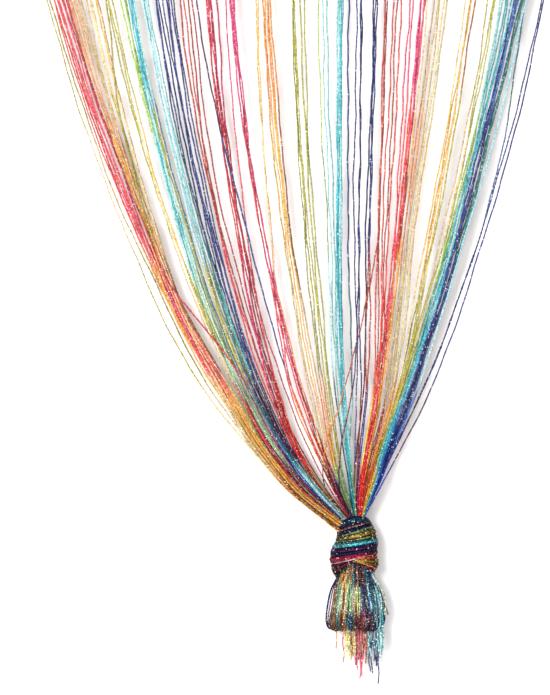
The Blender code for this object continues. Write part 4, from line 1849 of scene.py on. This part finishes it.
    def strays(self) -> list[Stray]:
        """List the threads that stand off to the right of the bell.

        Returns:
            The strays.
        """
        return [
            Stray(Hue.PLUM, (112.0, 119.5, 127.0, 131.5, 135.5)),
            Stray(Hue.CYAN, (116.0, 122.0, 126.0, 127.5, 126.5)),
            Stray(Hue.MIST, (115.0, 124.0, 130.5, 132.5, 131.5)),
        ]

    def loose_ends(self, random: np.random.Generator) -> list[tuple[Hue, Rows]]:
        """Lay the loose cut ends and the strays.

        An end starts inside the bell, nearer its middle, and moves out to its place as it passes
        the fold, by a smooth step of its drop. Small random sines make it kink. A stray is a
        smooth curve through its places, arched forward by a sine.

        Args:
            random: where the ends' places and kinks come from.

        Returns:
            Each end's hue and path.
        """
        made = []
        along = np.linspace(0.0, 1.0, self.loose_samples)
        ends = [(lock, number) for lock in self.locks() for number in range(lock.strings)]
        for lock, number in ends:
            place = lock.middle + lock.spread * (number / max(lock.strings - 1, 1) - 0.5)
            end = lock.first_end + random.uniform(0.0, 1.0) * (lock.last_end - lock.first_end)
            drop = self.loose_start + (end - self.loose_start) * along
            step = smooth_step(drop, self.loose_start, self.loose_reach)
            spread = self.loose_gathered + (1.0 - self.loose_gathered) * step
            kink = random.uniform(*self.kinks) * step
            kink = kink * np.sin(random.uniform(*self.kink_waves) * drop + random.uniform(*PHASES))
            x = self.loose_middle + (place - self.loose_middle) * spread + kink
            y = random.uniform(*self.loose_depths)
            kink = random.uniform(*self.depth_kinks)
            y = y + kink * np.sin(self.depth_kink_wave * drop + random.uniform(*PHASES))
            made.append((lock.hue, np.stack([x, y, -drop], axis=-1) * MM))
        stations = np.arange(len(self.stray_drops))
        along = along * stations[-1]
        y = -self.stray_front - self.stray_arch * np.sin(self.stray_arch_wave * along)
        for stray in self.strays():
            drop, x = smooth_through(stations, np.array([self.stray_drops, stray.places]), along)
            made.append((stray.hue, np.stack([x, y, -drop], axis=-1) * MM))
        return made

    def build(self) -> list[bpy.types.Object]:
        """Build and dress one piece for each layer, one for the slack loops and one for the loose ends.

        Returns:
            The pieces.
        """
        random = np.random.default_rng(self.tail_seed)
        pieces = []
        seed = self.bell_string_seed
        for layer in self.layers():
            paths = self.bell(layer, random)
            dyes_and_painted_light = self.dyes_and_painted_light(layer, random)
            pieces.append(self.piece(f"tail_{layer.title}", self.thread, paths, dyes_and_painted_light, seed))
            seed += len(paths)
        loops = self.slack_loops()
        outs = [(self.half_width + loop.bulge * self.slack, math.radians(loop.turn)) for loop in loops]
        paths = np.stack([self.around(out, turn, self.drop) for out, turn in outs])
        # The slack loops take the glow's painted light and shade as well.
        tone = self.slack_tone * self.glow + self.slack_least_tone
        tints = palette([[loop.hue] for loop in loops]) * tone[:, None]
        pieces.append(self.piece("tail_slack", self.thread, paths, tints, self.slack_string_seed))
        hues, paths = zip(*self.loose_ends(random))
        tone = np.linspace(self.loose_top_tone, self.loose_end_tone, self.loose_samples)[:, None]
        tone = random.uniform(*self.loose_tones, (len(hues), 1, 1)) * tone * self.loose_shine
        tints = faded(palette([[hue] for hue in hues]), self.loose_paleness, Hue.IVORY) * tone
        paths, seed = np.stack(paths), self.loose_string_seed
        pieces.append(self.piece("tail_loose_ends", self.loose_thread, paths, tints, seed))
        return pieces


@dataclass(frozen=True)
class Lamp:
    """A square soft light: its place and size in metres, its power in watts and its colour."""

    name: str
    place: tuple[float, float, float]
    size: float
    power: float
    colour: tuple[float, float, float]


@dataclass
class Studio:
    """The pale surroundings, the lights and the camera.

    aim is where the lights are turned to. heading_rows is how many rows of pixels the heading's
    top edge lies above the photograph's first row.
    """

    dyehouse: Dyehouse
    wall_depth: float = 29.0 * MM
    floor_drop: float = 2.0
    reach: float = 4.0
    wall: PlainFinish = PlainFinish("white_wall", (0.93, 0.925, 0.925), one_sided=True)
    floor: PlainFinish = PlainFinish("pale_floor", (0.9, 0.9, 0.9))
    lamps: tuple[Lamp, ...] = (
        Lamp("key", (-1.25, -3.3, -0.5), size=1.0, power=121.0, colour=(1.0, 0.99, 0.99)),
        Lamp("fill", (0.1, -3.4, -0.9), size=1.5, power=46.0, colour=(1.0, 0.96, 0.96)),
    )
    aim: tuple[float, float, float] = (0.05, 0.0, -1.15)
    room_colour: tuple[float, ...] = (1.0, 0.92, 0.93, 1.0)
    room_strength: float = 0.16
    photo_height: float = 695.0
    heading_rows: float = 600.0
    metres_per_pixel: float = 1.2 * MM
    camera_distance: float = 3.0
    sensor: float = 36.0

    def surface(self, name: str, corners: Sequence[tuple[float, float, float]], finish: PlainFinish) -> None:
        """Add one flat surface to the stage.

        Args:
            name: the surface's name.
            corners: its four corners in order.
            finish: its finish.
        """
        mesh = bpy.data.meshes.new(name)
        mesh.from_pydata(corners, [], [(0, 1, 2, 3)])
        mesh.materials.append(self.dyehouse.material(finish))
        placed(name, mesh)

    def hang(self, lamp: Lamp) -> None:
        """Add one light, turned towards the strings.

        Args:
            lamp: the light.
        """
        data = bpy.data.lights.new(lamp.name, "AREA")
        data.shape = "SQUARE"
        data.size = lamp.size
        data.energy = lamp.power
        data.color = lamp.colour
        item = bpy.data.objects.new(lamp.name, data)
        item.location = lamp.place
        item.rotation_euler = (Vector(self.aim) - Vector(lamp.place)).to_track_quat("-Z", "Y").to_euler()
        bpy.context.scene.collection.objects.link(item)

    def build(self) -> None:
        """Set up the wall, the floor, the lights, the surroundings and the camera."""
        far, deep, low = self.reach, self.wall_depth, -self.floor_drop
        wall = [(-far, deep, low), (far, deep, low), (far, deep, far), (-far, deep, far)]
        floor = [(-far, -far, low), (far, -far, low), (far, far, low), (-far, far, low)]
        self.surface("wall", wall, self.wall)
        self.surface("floor", floor, self.floor)
        for lamp in self.lamps:
            self.hang(lamp)
        scene = bpy.context.scene
        scene.world = bpy.data.worlds.new("white_room")
        scene.world.use_nodes = True
        background = scene.world.node_tree.nodes["Background"]
        background.inputs["Color"].default_value = self.room_colour
        background.inputs["Strength"].default_value = self.room_strength
        scene.view_settings.view_transform = "Standard"
        self.camera()

    def camera(self) -> None:
        """Put the camera square to the curtain, so that the frame is the photograph's."""
        view_height = self.photo_height * self.metres_per_pixel
        middle_row = 0.5 * self.photo_height + self.heading_rows
        data = bpy.data.cameras.new("camera")
        data.sensor_width = self.sensor
        data.lens = self.sensor * (self.camera_distance / view_height)
        item = bpy.data.objects.new("camera", data)
        item.location = (0.0, -self.camera_distance, -middle_row * self.metres_per_pixel)
        item.rotation_euler = (0.5 * math.pi, 0.0, 0.0)
        bpy.context.scene.collection.objects.link(item)
        bpy.context.scene.camera = item


def main() -> None:
    """Build the curtain and its studio in order, and report each piece."""
    logging.basicConfig(level=logging.INFO, format="%(message)s")
    dyehouse = Dyehouse()
    strings = HangingStrings(dyehouse)
    pieces = strings.build()
    pieces.append(HeadingTape(dyehouse, strings.hues(), strings.band_height).build(pieces))
    pieces += GatherKnot(dyehouse).build()
    pieces += FoldedTail(dyehouse).build()
    Studio(dyehouse).build()
    for item in pieces:
        LOG.info("%s: %d faces", item.name, len(item.data.polygons))


if __name__ == "__main__":
    main()
